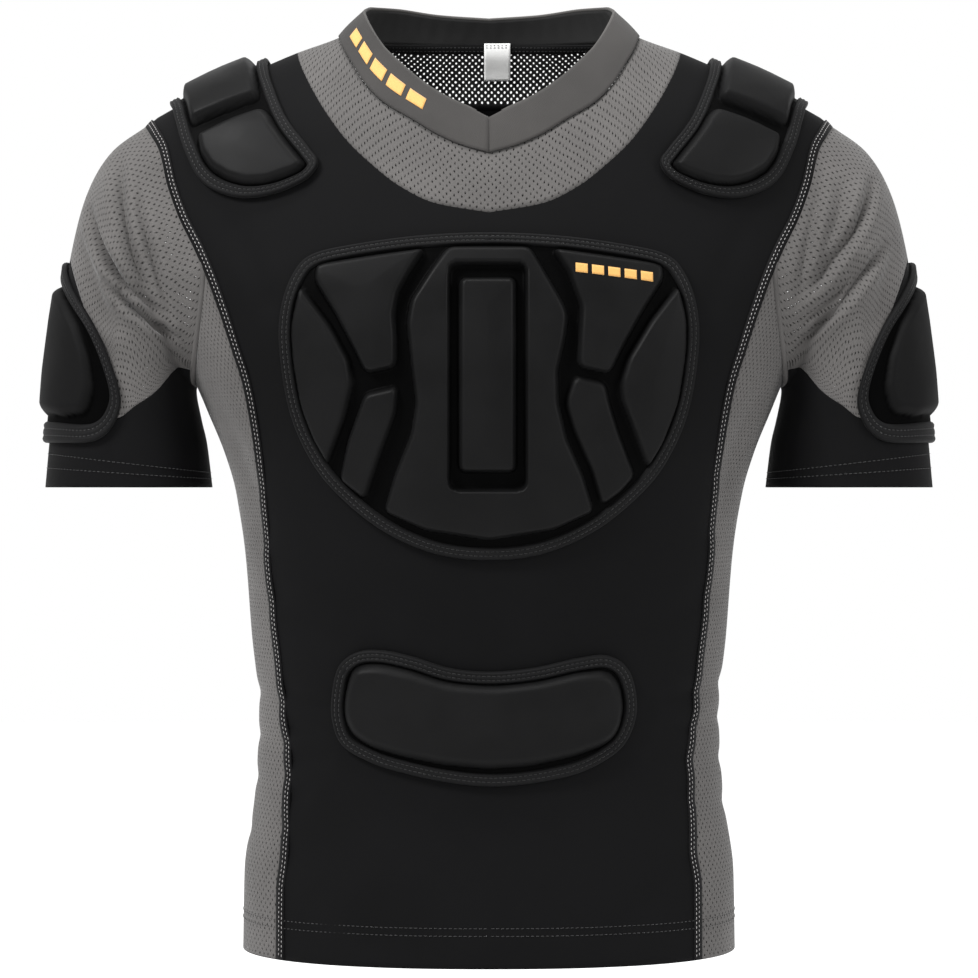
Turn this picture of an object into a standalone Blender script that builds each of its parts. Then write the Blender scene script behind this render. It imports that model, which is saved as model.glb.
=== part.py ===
"""Padded compression shirt: a hollow pullover of stretch cloth and net with molded foam pads.

Every cloth panel is a thin wall cut from one body form, and every pad is bent onto it.
Metres, +Z up, the front faces -Y; the origin is the middle of the neck at shoulder height.
"""
import math

import bmesh
import bpy
import numpy as np
from mathutils import Vector

# Driving sizes
CLOTH = 0.0012
SEAM_GAP = 0.0003
YOKE_GAP = 0.0007
HEM_Z = -0.687
TIP_Z = -0.067
JOIN_Z = -0.178
PIT_Z = -0.262
FOLD_FLOOR = -0.256
SHOULDER_TIP_X = 0.2576

# Numbers of cells across and along the panels
LOWER_ROWS = 10
ARMHOLE_ROWS = 7
PIT_COLUMNS = 5
RIDGE_COLUMNS = 4
YOKE_COLUMNS = 8
BACK_YOKE_COLUMNS = 4
YOKE_SHARE = 0.78
FAN = 6
SLEEVE_ROWS = 7
CUFF_ROWS = 5

# Heights above the body form where the layers of a pad begin and end
PAD_SEAT = 0.0018
BASE_TOP = 0.0036
TAPE_TOP = 0.0062
BLOCK_SEAT = 0.0046
BLOCK_EDGE = 0.0030
TAPE_WIDTH = 0.0092
SHOULDER_TAPE = 0.0076
TAPE_CLEAR = 0.0005
BLOCK_CLEAR = 0.0014
BLOCK_CORNER = 0.004
SLOT_CORNER = 0.005
FRONT_LIFT = 0.0007
SHOULDER_LIFT = 0.0012
ARM_LIFT = 0.0005

# Shares of the sleeve: where the cloth begins, and half the gap at the end of the net
SLEEVE_START = 0.002
NET_GAP = 0.0012

# Gap at each edge of a side panel, as a share of its width
SIDE_INSET = 0.0014

# Body form: height, half width, front depth, back depth, squareness of the section
BODY = [
    (0.014, 0.0900, 0.036, 0.0740, 2.20),
    (0.000, 0.1125, 0.045, 0.0775, 2.20),
    (-0.0137, 0.1490, 0.053, 0.0860, 2.20),
    (-0.0228, 0.1700, 0.058, 0.0910, 2.25),
    (-0.040, 0.2080, 0.067, 0.0975, 2.30),
    (-0.055, 0.2390, 0.076, 0.1025, 2.35),
    (-0.067, 0.2576, 0.083, 0.1055, 2.35),
    (-0.080, 0.2660, 0.089, 0.109, 2.40),
    (-0.100, 0.2710, 0.096, 0.113, 2.40),
    (-0.130, 0.2680, 0.106, 0.119, 2.40),
    (-0.160, 0.2590, 0.115, 0.124, 2.40),
    (-0.200, 0.2440, 0.124, 0.128, 2.40),
    (-0.240, 0.2290, 0.127, 0.129, 2.40),
    (-0.280, 0.2130, 0.125, 0.126, 2.40),
    (-0.312, 0.2000, 0.121, 0.121, 2.40),
    (-0.342, 0.1910, 0.117, 0.116, 2.35),
    (-0.388, 0.1835, 0.112, 0.108, 2.30),
    (-0.450, 0.1785, 0.107, 0.099, 2.30),
    (-0.509, 0.1730, 0.105, 0.095, 2.30),
    (-0.570, 0.1760, 0.107, 0.102, 2.30),
    (-0.630, 0.1840, 0.111, 0.113, 2.30),
    (-0.687, 0.1850, 0.115, 0.120, 2.30),
]

# Seam between the front or back panel and the side: height, distance from the middle
SIDE_SEAM = [
    (-0.067, 0.2576), (-0.075, 0.2515), (-0.0893, 0.2426), (-0.118, 0.2347), (-0.1416, 0.2257),
    (-0.1659, 0.2131), (-0.1883, 0.2032), (-0.2141, 0.1936), (-0.2397, 0.1851), (-0.2638, 0.1775),
    (-0.2914, 0.1724), (-0.314, 0.1696), (-0.3412, 0.1675), (-0.387, 0.1645), (-0.433, 0.1604),
    (-0.470, 0.1560), (-0.503, 0.1535), (-0.543, 0.1490), (-0.571, 0.1500), (-0.605, 0.1510),
    (-0.635, 0.1540), (-0.687, 0.1540),
]

# Front neckline and front yoke seam, half of each: distance from the middle, height
NECK_SEAM = [
    (0.0, -0.0975), (0.0190, -0.0920), (0.0375, -0.0838), (0.0570, -0.0716), (0.0770, -0.0590),
    (0.0915, -0.0430), (0.1010, -0.0270), (0.1085, -0.0130), (0.1125, 0.0),
]
YOKE_SEAM = [
    (0.0, -0.1420), (0.0390, -0.1350), (0.0650, -0.1220), (0.0870, -0.1040), (0.1040, -0.0870),
    (0.1185, -0.0670), (0.1320, -0.0435), (0.1415, -0.0220), (0.1445, -0.0120),
]
BACK_NECK_RISE = 0.005
BACK_YOKE_Z = -0.038

# Collar: swell of its middle, stand off the yoke, how far the facing lies inside
COLLAR_SWELL = 0.0014
COLLAR_STAND = 0.0017
FACING_INSET = 0.0014
FACING_CLOTH = 0.0010

# Collar top edge, half of it: angle round the neck in degrees, x, y, z
COLLAR_TOP = [
    (0.0, 0.0002, -0.0830, -0.0700), (2.4, 0.0150, -0.0800, -0.0620), (5.4, 0.0300, -0.0740, -0.0545),
    (9.5, 0.0470, -0.0655, -0.0430), (14.8, 0.0655, -0.0550, -0.0265), (21.9, 0.0790, -0.0445, -0.0120),
    (31.4, 0.0875, -0.0320, 0.0020), (45.6, 0.0925, -0.0170, 0.0130), (90.0, 0.0950, 0.0060, 0.0220),
    (112.0, 0.0900, 0.0330, 0.0290), (136.6, 0.0700, 0.0540, 0.0310), (159.6, 0.0370, 0.0650, 0.0280),
    (180.0, 0.0000, 0.0680, 0.0260),
]

# Sleeve sections: outer x and z, inner x and z, half depth
SLEEVE = [
    (0.2850, -0.0870, 0.2240, -0.2665, 0.075),
    (0.3030, -0.1180, 0.2235, -0.2735, 0.077),
    (0.3150, -0.1630, 0.2215, -0.2825, 0.075),
    (0.3210, -0.2100, 0.2190, -0.2930, 0.072),
    (0.3280, -0.2650, 0.2155, -0.3080, 0.069),
    (0.3350, -0.3400, 0.2115, -0.3400, 0.068),
]

# Where the net ends on the sleeve: angle round from the outside in degrees, share along
NET_END = [
    (0, 0.50), (30, 0.52), (60, 0.60), (78, 0.72), (87, 0.845), (104, 0.767),
    (119, 0.640), (135, 0.38), (146, 0.15), (156, 0.0), (180, 0.0),
]

# How far the sleeve edge stands off the armhole: degrees from the shoulder tip, distance
STAND_OFF = [(0, 0.0004), (60, 0.0006), (100, 0.0010), (135, 0.0020), (160, 0.0032), (180, 0.0034)]

# Largest sleeve folds, front and back of each arm: start x z, end x z, depth, width
FOLDS = {
    (1, -1): [
        (0.277, -0.178, 0.231, -0.246, 0.0050, 0.011),
        (0.254, -0.188, 0.219, -0.243, 0.0045, 0.009),
        (0.281, -0.135, 0.246, -0.205, 0.0030, 0.012),
        (0.305, -0.235, 0.240, -0.272, 0.0025, 0.012),
    ],
    (-1, -1): [
        (0.270, -0.143, 0.221, -0.262, 0.0050, 0.011),
        (0.284, -0.166, 0.238, -0.218, 0.0045, 0.009),
        (0.262, -0.200, 0.226, -0.238, 0.0040, 0.009),
        (0.300, -0.225, 0.243, -0.268, 0.0025, 0.012),
    ],
    (1, 1): [
        (0.280, -0.150, 0.229, -0.250, 0.0050, 0.012),
        (0.262, -0.200, 0.222, -0.250, 0.0040, 0.010),
        (0.300, -0.215, 0.244, -0.262, 0.0030, 0.012),
    ],
    (-1, 1): [
        (0.272, -0.146, 0.226, -0.256, 0.0048, 0.012),
        (0.287, -0.184, 0.236, -0.236, 0.0042, 0.010),
        (0.303, -0.228, 0.246, -0.270, 0.0026, 0.012),
    ],
}

# Pad outlines, x and height on the front of the body form
CHEST_RIM = [
    (0.0, -0.1578), (0.050, -0.1600), (0.100, -0.1665), (0.1270, -0.1730), (0.1395, -0.1850),
    (0.1480, -0.2070), (0.1500, -0.2360), (0.1435, -0.2800), (0.1300, -0.3145), (0.1100, -0.3425),
    (0.0765, -0.3705), (0.0385, -0.3875), (0.0, -0.3920),
]
CHEST_BLOCKS = {
    "chest_block_upper_left": (0.0125, [
        (-0.1215, -0.1795), (-0.0460, -0.1712), (-0.0565, -0.1868), (-0.0645, -0.2012),
        (-0.0675, -0.2170), (-0.0660, -0.2334), (-0.0660, -0.2530), (-0.0865, -0.2575),
        (-0.0944, -0.2411), (-0.1085, -0.2152), (-0.1235, -0.1912)]),
    "chest_block_upper_right": (0.0125, [
        (0.0460, -0.1712), (0.1215, -0.1795), (0.1240, -0.1900), (0.1095, -0.2120),
        (0.0935, -0.2400), (0.0850, -0.2575), (0.0630, -0.2530), (0.0640, -0.2334),
        (0.0655, -0.2120), (0.0565, -0.1868)]),
    "chest_block_outer_left": (0.0120, [
        (-0.1340, -0.1960), (-0.1124, -0.2252), (-0.0994, -0.2489), (-0.0970, -0.2653),
        (-0.1025, -0.2889), (-0.1150, -0.3225), (-0.1254, -0.3088), (-0.1350, -0.2807),
        (-0.1400, -0.2484), (-0.1400, -0.2247)]),
    "chest_block_outer_right": (0.0120, [
        (0.1340, -0.1960), (0.1400, -0.2190), (0.1395, -0.2430), (0.1340, -0.2770),
        (0.1235, -0.3100), (0.1120, -0.3240), (0.1025, -0.2980), (0.0940, -0.2760),
        (0.0930, -0.2640), (0.0985, -0.2471), (0.1146, -0.2209)]),
    "chest_block_lower_left": (0.0112, [
        (-0.0873, -0.2725), (-0.0650, -0.2677), (-0.0665, -0.2855), (-0.0789, -0.3193),
        (-0.0878, -0.3470), (-0.1050, -0.3333), (-0.0991, -0.3053)]),
    "chest_block_lower_right": (0.0092, [
        (0.0610, -0.2605), (0.0820, -0.2650), (0.0850, -0.2790), (0.0920, -0.3010),
        (0.1030, -0.3300), (0.0928, -0.3420), (0.0800, -0.3515), (0.0730, -0.3270),
        (0.0610, -0.3000), (0.0545, -0.2790)]),
    "chest_block_middle": (0.0125, [
        (-0.0290, -0.1700), (0.0290, -0.1700), (0.0385, -0.1860), (0.0510, -0.2070),
        (0.0555, -0.2170), (0.0535, -0.2334), (0.0480, -0.2556), (0.0485, -0.2791),
        (0.0545, -0.3040), (0.0660, -0.3300), (0.0735, -0.3560), (0.0445, -0.3695),
        (0.0, -0.3765), (-0.0445, -0.3695), (-0.0735, -0.3560), (-0.0660, -0.3300),
        (-0.0545, -0.3010), (-0.0510, -0.2791), (-0.0545, -0.2500), (-0.0575, -0.2235),
        (-0.0550, -0.2070), (-0.0410, -0.1860)]),
    "chest_bar": (0.0120, [
        (-0.0205, -0.1919), (0.0185, -0.1919), (0.0185, -0.3276), (-0.0205, -0.3276)]),
}
SLOT_LOW = 0.0030
SLOT_HIGH = 0.0150
CHEST_SLOT = [(-0.0285, -0.1815), (0.0265, -0.1815), (0.0265, -0.3410), (-0.0285, -0.3410)]
WAIST_RIM = [
    (-0.1077, -0.4700), (-0.0951, -0.4595), (-0.0768, -0.4578), (-0.0535, -0.4626), (-0.0278, -0.4705),
    (0.0020, -0.4730), (0.0330, -0.4700), (0.0640, -0.4633), (0.0860, -0.4620), (0.1010, -0.4740),
    (0.1060, -0.5000), (0.1000, -0.5220), (0.0880, -0.5350), (0.0640, -0.5470), (0.0300, -0.5540),
    (0.0, -0.5560), (-0.0311, -0.5530), (-0.0615, -0.5467), (-0.0841, -0.5399), (-0.1048, -0.5282),
    (-0.1123, -0.5100), (-0.1125, -0.4898),
]
WAIST_BLOCK = [
    (-0.0948, -0.4694), (-0.0766, -0.4676), (-0.0534, -0.4731), (-0.0277, -0.4802), (0.0030, -0.4830),
    (0.0340, -0.4800), (0.0640, -0.4740), (0.0850, -0.4730), (0.0925, -0.4830), (0.0948, -0.5000),
    (0.0920, -0.5165), (0.0840, -0.5255), (0.0606, -0.5340), (0.0299, -0.5405), (0.0, -0.5425),
    (-0.0310, -0.5400), (-0.0613, -0.5340), (-0.0839, -0.5275), (-0.0964, -0.5195), (-0.1020, -0.5074),
    (-0.1020, -0.4939), (-0.0990, -0.4800),
]

# Shoulder pad outlines: x, and the way over the shoulder from the ridge to the front
SHOULDER_RIM = [
    (0.1650, 0.0), (0.1650, 0.0254), (0.1600, 0.0587), (0.1480, 0.0985), (0.1300, 0.1310),
    (0.1240, 0.1425), (0.1265, 0.1505), (0.1360, 0.1555), (0.1560, 0.1555), (0.1780, 0.1475),
    (0.1978, 0.1315), (0.2115, 0.1125), (0.2210, 0.0885), (0.2275, 0.0660), (0.2365, 0.0253),
    (0.2390, 0.0), (0.2370, -0.0350), (0.2260, -0.0680), (0.2080, -0.0840), (0.1860, -0.0860),
    (0.1700, -0.0680), (0.1650, -0.0350),
]
SHOULDER_BLOCKS = {
    "top": (0.0135, [
        (0.1765, 0.0), (0.1755, 0.0250), (0.1690, 0.0735), (0.2160, 0.0695), (0.2250, 0.0300),
        (0.2275, 0.0), (0.2250, -0.0330), (0.2150, -0.0600), (0.1850, -0.0640), (0.1770, -0.0330)]),
    "front": (0.0125, [
        (0.1650, 0.0860), (0.2110, 0.0815), (0.2085, 0.0960), (0.2020, 0.1150), (0.1900, 0.1310),
        (0.1775, 0.1400), (0.1600, 0.1455), (0.1385, 0.1480), (0.1330, 0.1430), (0.1420, 0.1260),
        (0.1560, 0.1000)]),
}

# Arm pad outlines: angle round from the outside in degrees, share along the sleeve
ARM_RIM = [
    (-24, 0.555), (0, 0.525), (24, 0.548), (50, 0.575), (66, 0.600), (78, 0.650), (87, 0.720),
    (91, 0.790), (88, 0.850), (80, 0.893), (66, 0.915), (35, 0.925), (0, 0.928), (-35, 0.925),
    (-66, 0.915), (-80, 0.893), (-88, 0.850), (-91, 0.790), (-87, 0.720), (-78, 0.650), (-52, 0.585),
]
ARM_BLOCK = [
    (-38, 0.612), (0, 0.596), (38, 0.612), (55, 0.640), (66, 0.705), (71, 0.790), (67, 0.852),
    (48, 0.872), (0, 0.877), (-48, 0.872), (-67, 0.852), (-71, 0.790), (-66, 0.705), (-55, 0.640),
]
ARM_BLOCK_TOP = 0.0115
ARM_SPREAD = 0.066
ARM_LENGTH = 0.262

LABEL_WIDTH = 0.0205
LABEL_TOP_Z = 0.0085
LABEL_BOTTOM_Z = -0.0190
LABEL_X = 0.0065
LABEL_STAND = 0.0022
LABEL_CLOTH = 0.0005

# Materials: colour and roughness
COLOURS = {
    "black_stretch": ((0.012, 0.012, 0.013), 0.72),
    "grey_net": ((0.205, 0.190, 0.180), 0.85),
    "black_net": ((0.020, 0.020, 0.021), 0.85),
    "collar_knit": ((0.120, 0.112, 0.106), 0.85),
    "facing_knit": ((0.016, 0.016, 0.017), 0.85),
    "molded_foam": ((0.014, 0.014, 0.014), 0.62),
    "edge_tape": ((0.016, 0.016, 0.017), 0.75),
    "label_cloth": ((0.75, 0.75, 0.73), 0.70),
}


def smooth(points, column=1):
    """Smooth curve through a table that never overshoots it; the first column is the input."""
    rows = sorted(points)
    xs = np.array([row[0] for row in rows], float)
    ys = np.array([row[column] for row in rows], float)
    gap = np.diff(xs)
    rise = np.diff(ys) / gap
    slope = np.empty_like(ys)
    slope[0] = rise[0]
    slope[-1] = rise[-1]
    for i in range(1, len(xs) - 1):
        if rise[i - 1] * rise[i] <= 0:
            slope[i] = 0.0
        else:
            before = 2 * gap[i] + gap[i - 1]
            after = gap[i] + 2 * gap[i - 1]
            slope[i] = (before + after) / (before / rise[i - 1] + after / rise[i])

    def at(x):
        x = np.clip(x, xs[0], xs[-1])
        i = np.clip(np.searchsorted(xs, x) - 1, 0, len(xs) - 2)
        t = (x - xs[i]) / gap[i]
        low = (1 + 2 * t) * (1 - t) ** 2 * ys[i] + t * (1 - t) ** 2 * gap[i] * slope[i]
        high = t * t * (3 - 2 * t) * ys[i + 1] + t * t * (t - 1) * gap[i] * slope[i + 1]
        return low + high

    return at


half_width = smooth(BODY, 1)
front_depth = smooth(BODY, 2)
back_depth = smooth(BODY, 3)
squareness = smooth(BODY, 4)
seam_x = smooth(SIDE_SEAM)
net_end = smooth(NET_END)
stand_off = smooth(STAND_OFF)


def body(x, z, side):
    """Point of the body form over (x, z) on its front (side -1) or back (side 1)."""
    power = squareness(z)
    share = min(abs(x) / half_width(z), 1.0)
    depth = front_depth(z) if side < 0 else back_depth(z)
    return np.array([x, side * depth * (1 - share ** power) ** (1 / power), z])


def around(angle, z):
    """Point of the body form at an angle from the front middle, to the right and back."""
    power = squareness(z)
    x = half_width(z) * math.sin(angle) ** (2 / power)
    turn = math.cos(angle)
    depth = front_depth(z) if turn > 0 else back_depth(z)
    return np.array([x, -math.copysign(depth * abs(turn) ** (2 / power), turn), z])


def angle_of(x, z):
    """Angle round the body form at which a front point stands."""
    return math.asin(min((abs(x) / half_width(z)) ** (squareness(z) / 2), 1.0))


def ridge_z(x):
    """Height of the shoulder line over a distance from the middle."""
    low, high = TIP_Z, BODY[0][0]
    for _ in range(40):
        middle = (low + high) / 2
        if half_width(middle) > x:
            low = middle
        else:
            high = middle
    return low


def side_point(share, z):
    """Point of the side from the front seam (0) round to the back seam (1)."""
    edge = angle_of(seam_x(z), z)
    return around(edge + (math.pi - 2 * edge) * share, z)


def pit_height(share):
    """Top edge of the side panel: the round underside of the armhole."""
    return PIT_Z + (JOIN_Z - PIT_Z) * abs(2 * share - 1) ** 2.2


def armhole_height(share):
    """Height on the seam from the shoulder tip (0) to the top of the side panel (1)."""
    return TIP_Z + (JOIN_Z - TIP_Z) * share ** 2


def armhole(steps):
    """Closed armhole edge from the shoulder tip down the front and up the back."""
    points = []
    edge = ARMHOLE_ROWS * steps
    for i in range(edge):
        z = armhole_height(i / edge)
        points.append(body(min(seam_x(z), half_width(z)), z, -1))
    pit = 2 * PIT_COLUMNS * steps
    for i in range(pit + 1):
        points.append(side_point(i / pit, pit_height(i / pit)))
    for i in range(edge - 1, 0, -1):
        z = armhole_height(i / edge)
        points.append(body(min(seam_x(z), half_width(z)), z, 1))
    return np.array(points)


def armhole_by_angle(steps=8):
    """The armhole edge as points against an angle, and the angles of the shared points."""
    points = armhole(steps)
    points = np.vstack([points, points[:1]])
    length = np.concatenate([[0.0], np.cumsum(np.linalg.norm(np.diff(points, axis=0), axis=1))])
    half = (ARMHOLE_ROWS + PIT_COLUMNS) * steps
    front = length[:half + 1] / length[half] * math.pi
    back = math.pi + (length[half:] - length[half]) / (length[-1] - length[half]) * math.pi
    angles = np.concatenate([front, back[1:]])
    return angles, points, angles[::steps][:-1]


RING_ANGLES, RING_POINTS, SHARED_ANGLES = armhole_by_angle()


def ring(angle):
    """Armhole point, standing off the panels by more the further it is below the shoulder."""
    turn = angle % (2 * math.pi)
    point = np.array([np.interp(turn, RING_ANGLES, RING_POINTS[:, i]) for i in range(3)])
    point[0] += stand_off(math.degrees(min(turn, 2 * math.pi - turn)))
    return point


def sleeve(angle, share):
    """Point of the right sleeve by angle from the outside to the front and share to the cuff."""
    rings = [ring(angle)]
    for outer_x, outer_z, inner_x, inner_z, half_depth in SLEEVE:
        middle = np.array([(outer_x + inner_x) / 2, 0, (outer_z + inner_z) / 2])
        reach = np.array([(outer_x - inner_x) / 2, 0, (outer_z - inner_z) / 2])
        deep = np.array([0, -half_depth, 0])
        rings.append(middle + math.cos(angle) * reach + math.sin(angle) * deep)
    last = len(rings) - 1
    place = min(max(share, 0.0), 1.0) * last
    i = min(int(place), last - 1)
    t = place - i
    p1, p2 = rings[i], rings[i + 1]
    p0 = rings[i - 1] if i > 0 else 2 * p1 - p2
    p3 = rings[i + 2] if i + 2 <= last else 2 * p2 - p1
    return 0.5 * (2 * p1 + (p2 - p0) * t + (2 * p0 - 5 * p1 + 4 * p2 - p3) * t ** 2
                  + (3 * p1 - p0 - 3 * p2 + p3) * t ** 3)


def outward(point):
    """Unit direction away from the body form at one of its points."""

    def level(x, y, z):
        power = squareness(z)
        depth = front_depth(z) if y < 0 else back_depth(z)
        return (abs(x) / half_width(z)) ** power + (abs(y) / depth) ** power

    step = 0.0005
    grown = []
    for axis in np.eye(3):
        ahead = np.array(point) + axis * step
        behind = np.array(point) - axis * step
        grown.append(level(*ahead) - level(*behind))
    return np.array(grown) / np.linalg.norm(grown)


def normal_of(chart, u, v, step_u, step_v):
    """Unit normal of a chart by small steps."""
    along_u = chart(u + step_u, v) - chart(u - step_u, v)
    along_v = chart(u, v + step_v) - chart(u, v - step_v)
    normal = np.cross(along_u, along_v)
    return normal / max(np.linalg.norm(normal), 1e-12)


def fold_depth(point, arm, side):
    """How far the cloth of one arm sinks into its folds at a point."""
    depth = 0.0
    for x0, z0, x1, z1, deep, wide in FOLDS[(arm, side)]:
        start = np.array([x0, z0])
        run = np.array([x1, z1]) - start
        here = np.array([point[0], point[2]]) - start
        share = np.dot(here, run) / np.dot(run, run)
        off = np.linalg.norm(here - run * min(max(share, 0.0), 1.0))
        depth += deep * math.exp(-(off / wide) ** 2)
    return depth


def sleeve_cloth(arm, angle, share):
    """Point of one sleeve with its folds; arm is 1 on the right and -1 on the left."""
    point = sleeve(angle, share)
    if share > 0.04:
        side = -1 if point[1] < 0 else 1
        fade = min((share - 0.04) / 0.12, 1.0) * min(max(abs(point[1]) - 0.015, 0.0) / 0.03, 1.0)
        fade *= min(max(point[2] - FOLD_FLOOR, 0.0) / 0.03, 1.0)
        normal = normal_of(sleeve, angle, min(share, 0.98), 0.02, 0.01)
        point = point - normal * fold_depth(point, arm, side) * fade
    return np.array([arm * point[0], point[1], point[2]])


def front_chart(x, z):
    """Point on the front of the body form."""
    return body(x, z, -1)


def shoulder_chart(x, way):
    """Point over the shoulder at a distance from the ridge, positive towards the front."""
    side = -1 if way >= 0 else 1
    top = ridge_z(x)
    profile = [body(x, top + (-0.24 - top) * (i / 90) ** 2, side) for i in range(91)]
    profile[0][1] = 0.0
    profile = np.array(profile)
    length = np.concatenate([[0.0], np.cumsum(np.linalg.norm(np.diff(profile, axis=0), axis=1))])
    return np.array([np.interp(abs(way), length, profile[:, i]) for i in range(3)])


def arm_chart(u, v):
    """Point on the sleeve by distances round it and along it."""
    return sleeve(u / ARM_SPREAD, v / ARM_LENGTH)


def mesh_object(name, vertices, faces, material, collection):
    """Make one named smooth-shaded object from points and faces."""
    mesh = bpy.data.meshes.new(name)
    mesh.from_pydata([tuple(float(c) for c in v) for v in vertices], [], faces)
    mesh.update()
    mesh.shade_smooth()
    thing = bpy.data.objects.new(name, mesh)
    collection.objects.link(thing)
    if material is not None:
        mesh.materials.append(material)
    return thing


def panel(name, rows, material, thickness=CLOTH, closed=False, outward=1, mirrored=False):
    """Cloth wall: a sheet through rows of points, thickened outwards."""
    rows = np.array(rows)
    count, width = rows.shape[:2]
    faces = []
    for r in range(count - 1):
        for c in range(width if closed else width - 1):
            d = (c + 1) % width
            face = (r * width + c, r * width + d, (r + 1) * width + d, (r + 1) * width + c)
            faces.append(face if outward > 0 else face[::-1])
    thing = mesh_object(name, rows.reshape(-1, 3), faces, material, shirt)
    if mirrored:
        mirror = thing.modifiers.new("halves", "MIRROR")
        mirror.use_axis = (True, False, False)
        mirror.merge_threshold = 0.00005
    wall = thing.modifiers.new("wall", "SOLIDIFY")
    wall.thickness = thickness
    wall.offset = 1.0
    return thing


def closed_curve(points, count):
    """Evenly spaced points on a smooth closed curve through the given ones."""
    points = np.array(points)
    size = len(points)
    dense = []
    for i in range(size):
        p0, p1, p2, p3 = (points[(i + k) % size] for k in (-1, 0, 1, 2))
        for t in np.linspace(0, 1, 12, endpoint=False):
            dense.append(0.5 * (2 * p1 + (p2 - p0) * t + (2 * p0 - 5 * p1 + 4 * p2 - p3) * t ** 2
                                + (3 * p1 - p0 - 3 * p2 + p3) * t ** 3))
    dense = np.array(dense + [dense[0]])
    length = np.concatenate([[0.0], np.cumsum(np.linalg.norm(np.diff(dense, axis=0), axis=1))])
    places = np.linspace(0, length[-1], count, endpoint=False)
    return np.column_stack([np.interp(places, length, dense[:, i]) for i in range(2)])


def rounded(points, radius, soft=25.0):
    """Cut each sharp corner of an outline back to a short round."""
    points = np.array(points)
    result = []
    for i, corner in enumerate(points):
        before = points[i - 1] - corner
        after = points[(i + 1) % len(points)] - corner
        reach_before = np.linalg.norm(before)
        reach_after = np.linalg.norm(after)
        turn = np.dot(before, after) / (reach_before * reach_after)
        if math.degrees(math.acos(min(max(-turn, -1.0), 1.0))) < soft:
            result.append(corner)
            continue
        start = corner + before / reach_before * min(radius, reach_before * 0.45)
        end = corner + after / reach_after * min(radius, reach_after * 0.45)
        result += [start, 0.25 * start + 0.5 * corner + 0.25 * end, end]
    return np.array(result)


def inward_normals(points):
    """Unit directions into a closed outline at each of its points."""
    along = np.roll(points, -1, axis=0) - np.roll(points, 1, axis=0)
    normals = np.column_stack([-along[:, 1], along[:, 0]])
    normals /= np.linalg.norm(normals, axis=1)[:, None]
    nxt = np.roll(points, -1, axis=0)
    area = np.sum(points[:, 0] * nxt[:, 1] - nxt[:, 0] * points[:, 1])
    return normals if area > 0 else -normals


def kept_inside(points, rim, margin):
    """Move the points of an outline that come nearer to a rim than a margin back inwards."""
    points = np.array(points)
    inward = inward_normals(rim)
    for _ in range(3):
        for i, point in enumerate(points):
            near = np.argmin(np.linalg.norm(rim - point, axis=1))
            depth = np.dot(point - rim[near], inward[near])
            if depth < margin:
                points[i] = point + inward[near] * (margin - depth)
    return points


def bend(work, name, seat, material, collection):
    """Bend a flat solid onto a seat: x and y run in its chart and z stands off it."""
    chart, _, side, lift, facing, _ = seat
    vertices = []
    for vertex in work.verts:
        u, v, height = vertex.co
        height += lift
        normal = normal_of(chart, u, v, 0.0015, 0.0015) * facing
        point = chart(u, v)
        if side < 0:
            point = point * np.array([-1, 1, 1])
            normal = normal * np.array([-1, 1, 1])
        vertices.append(point + normal * height)
    faces = [[v.index for v in face.verts] for face in work.faces]
    if side * facing < 0:
        faces = [face[::-1] for face in faces]
    return mesh_object(name, vertices, faces, material, collection)


def flat_prism(outline, low, high, edge=0.0, cell=(0.016, 0.028)):
    """Flat solid over an outline with an eased top edge, cut into cells so that it can bend."""
    work = bmesh.new()
    points = np.array(outline)
    nxt = np.roll(points, -1, axis=0)
    if np.sum(points[:, 0] * nxt[:, 1] - nxt[:, 0] * points[:, 1]) < 0:
        points = points[::-1]
    bottom = [work.verts.new((x, y, low)) for x, y in points]
    top = [work.verts.new((x, y, high)) for x, y in points]
    work.faces.new(bottom[::-1])
    work.faces.new(top)
    for i in range(len(points)):
        j = (i + 1) % len(points)
        work.faces.new((bottom[i], bottom[j], top[j], top[i]))
    if edge > 0:
        crown = [e for e in work.edges if all(v in top for v in e.verts)]
        bmesh.ops.bevel(work, geom=crown, offset=edge, segments=1, affect="EDGES",
                        clamp_overlap=True)
    spans = (points.min(axis=0), points.max(axis=0))
    for axis in (0, 1):
        first = math.ceil(spans[0][axis] / cell[axis])
        last = math.floor(spans[1][axis] / cell[axis])
        for line in range(first, last + 1):
            place = [0.0, 0.0, 0.0]
            facing = [0.0, 0.0, 0.0]
            place[axis] = line * cell[axis]
            facing[axis] = 1.0
            everything = work.verts[:] + work.edges[:] + work.faces[:]
            bmesh.ops.bisect_plane(work, geom=everything, dist=0.0002, plane_co=Vector(place),
                                   plane_no=Vector(facing))
    bmesh.ops.triangulate(work, faces=work.faces[:])
    work.verts.index_update()
    return work


def pad_block(name, seat, outline, rim, top, material):
    """One molded foam block standing on its pad."""
    outline = kept_inside(rounded(outline, BLOCK_CORNER), rim, seat[5] + BLOCK_CLEAR)
    work = flat_prism(outline, BLOCK_SEAT, top, BLOCK_EDGE, seat[1])
    thing = bend(work, name, seat, material, shirt)
    work.free()
    return thing


def pad_base(name, seat, rim, material):
    """Flat foam plate inside the edge tape of a pad."""
    inner = rim + inward_normals(rim) * (seat[5] + TAPE_CLEAR)
    work = flat_prism(inner, PAD_SEAT, BASE_TOP, 0.0, seat[1])
    thing = bend(work, name, seat, material, shirt)
    work.free()
    return thing


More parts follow.
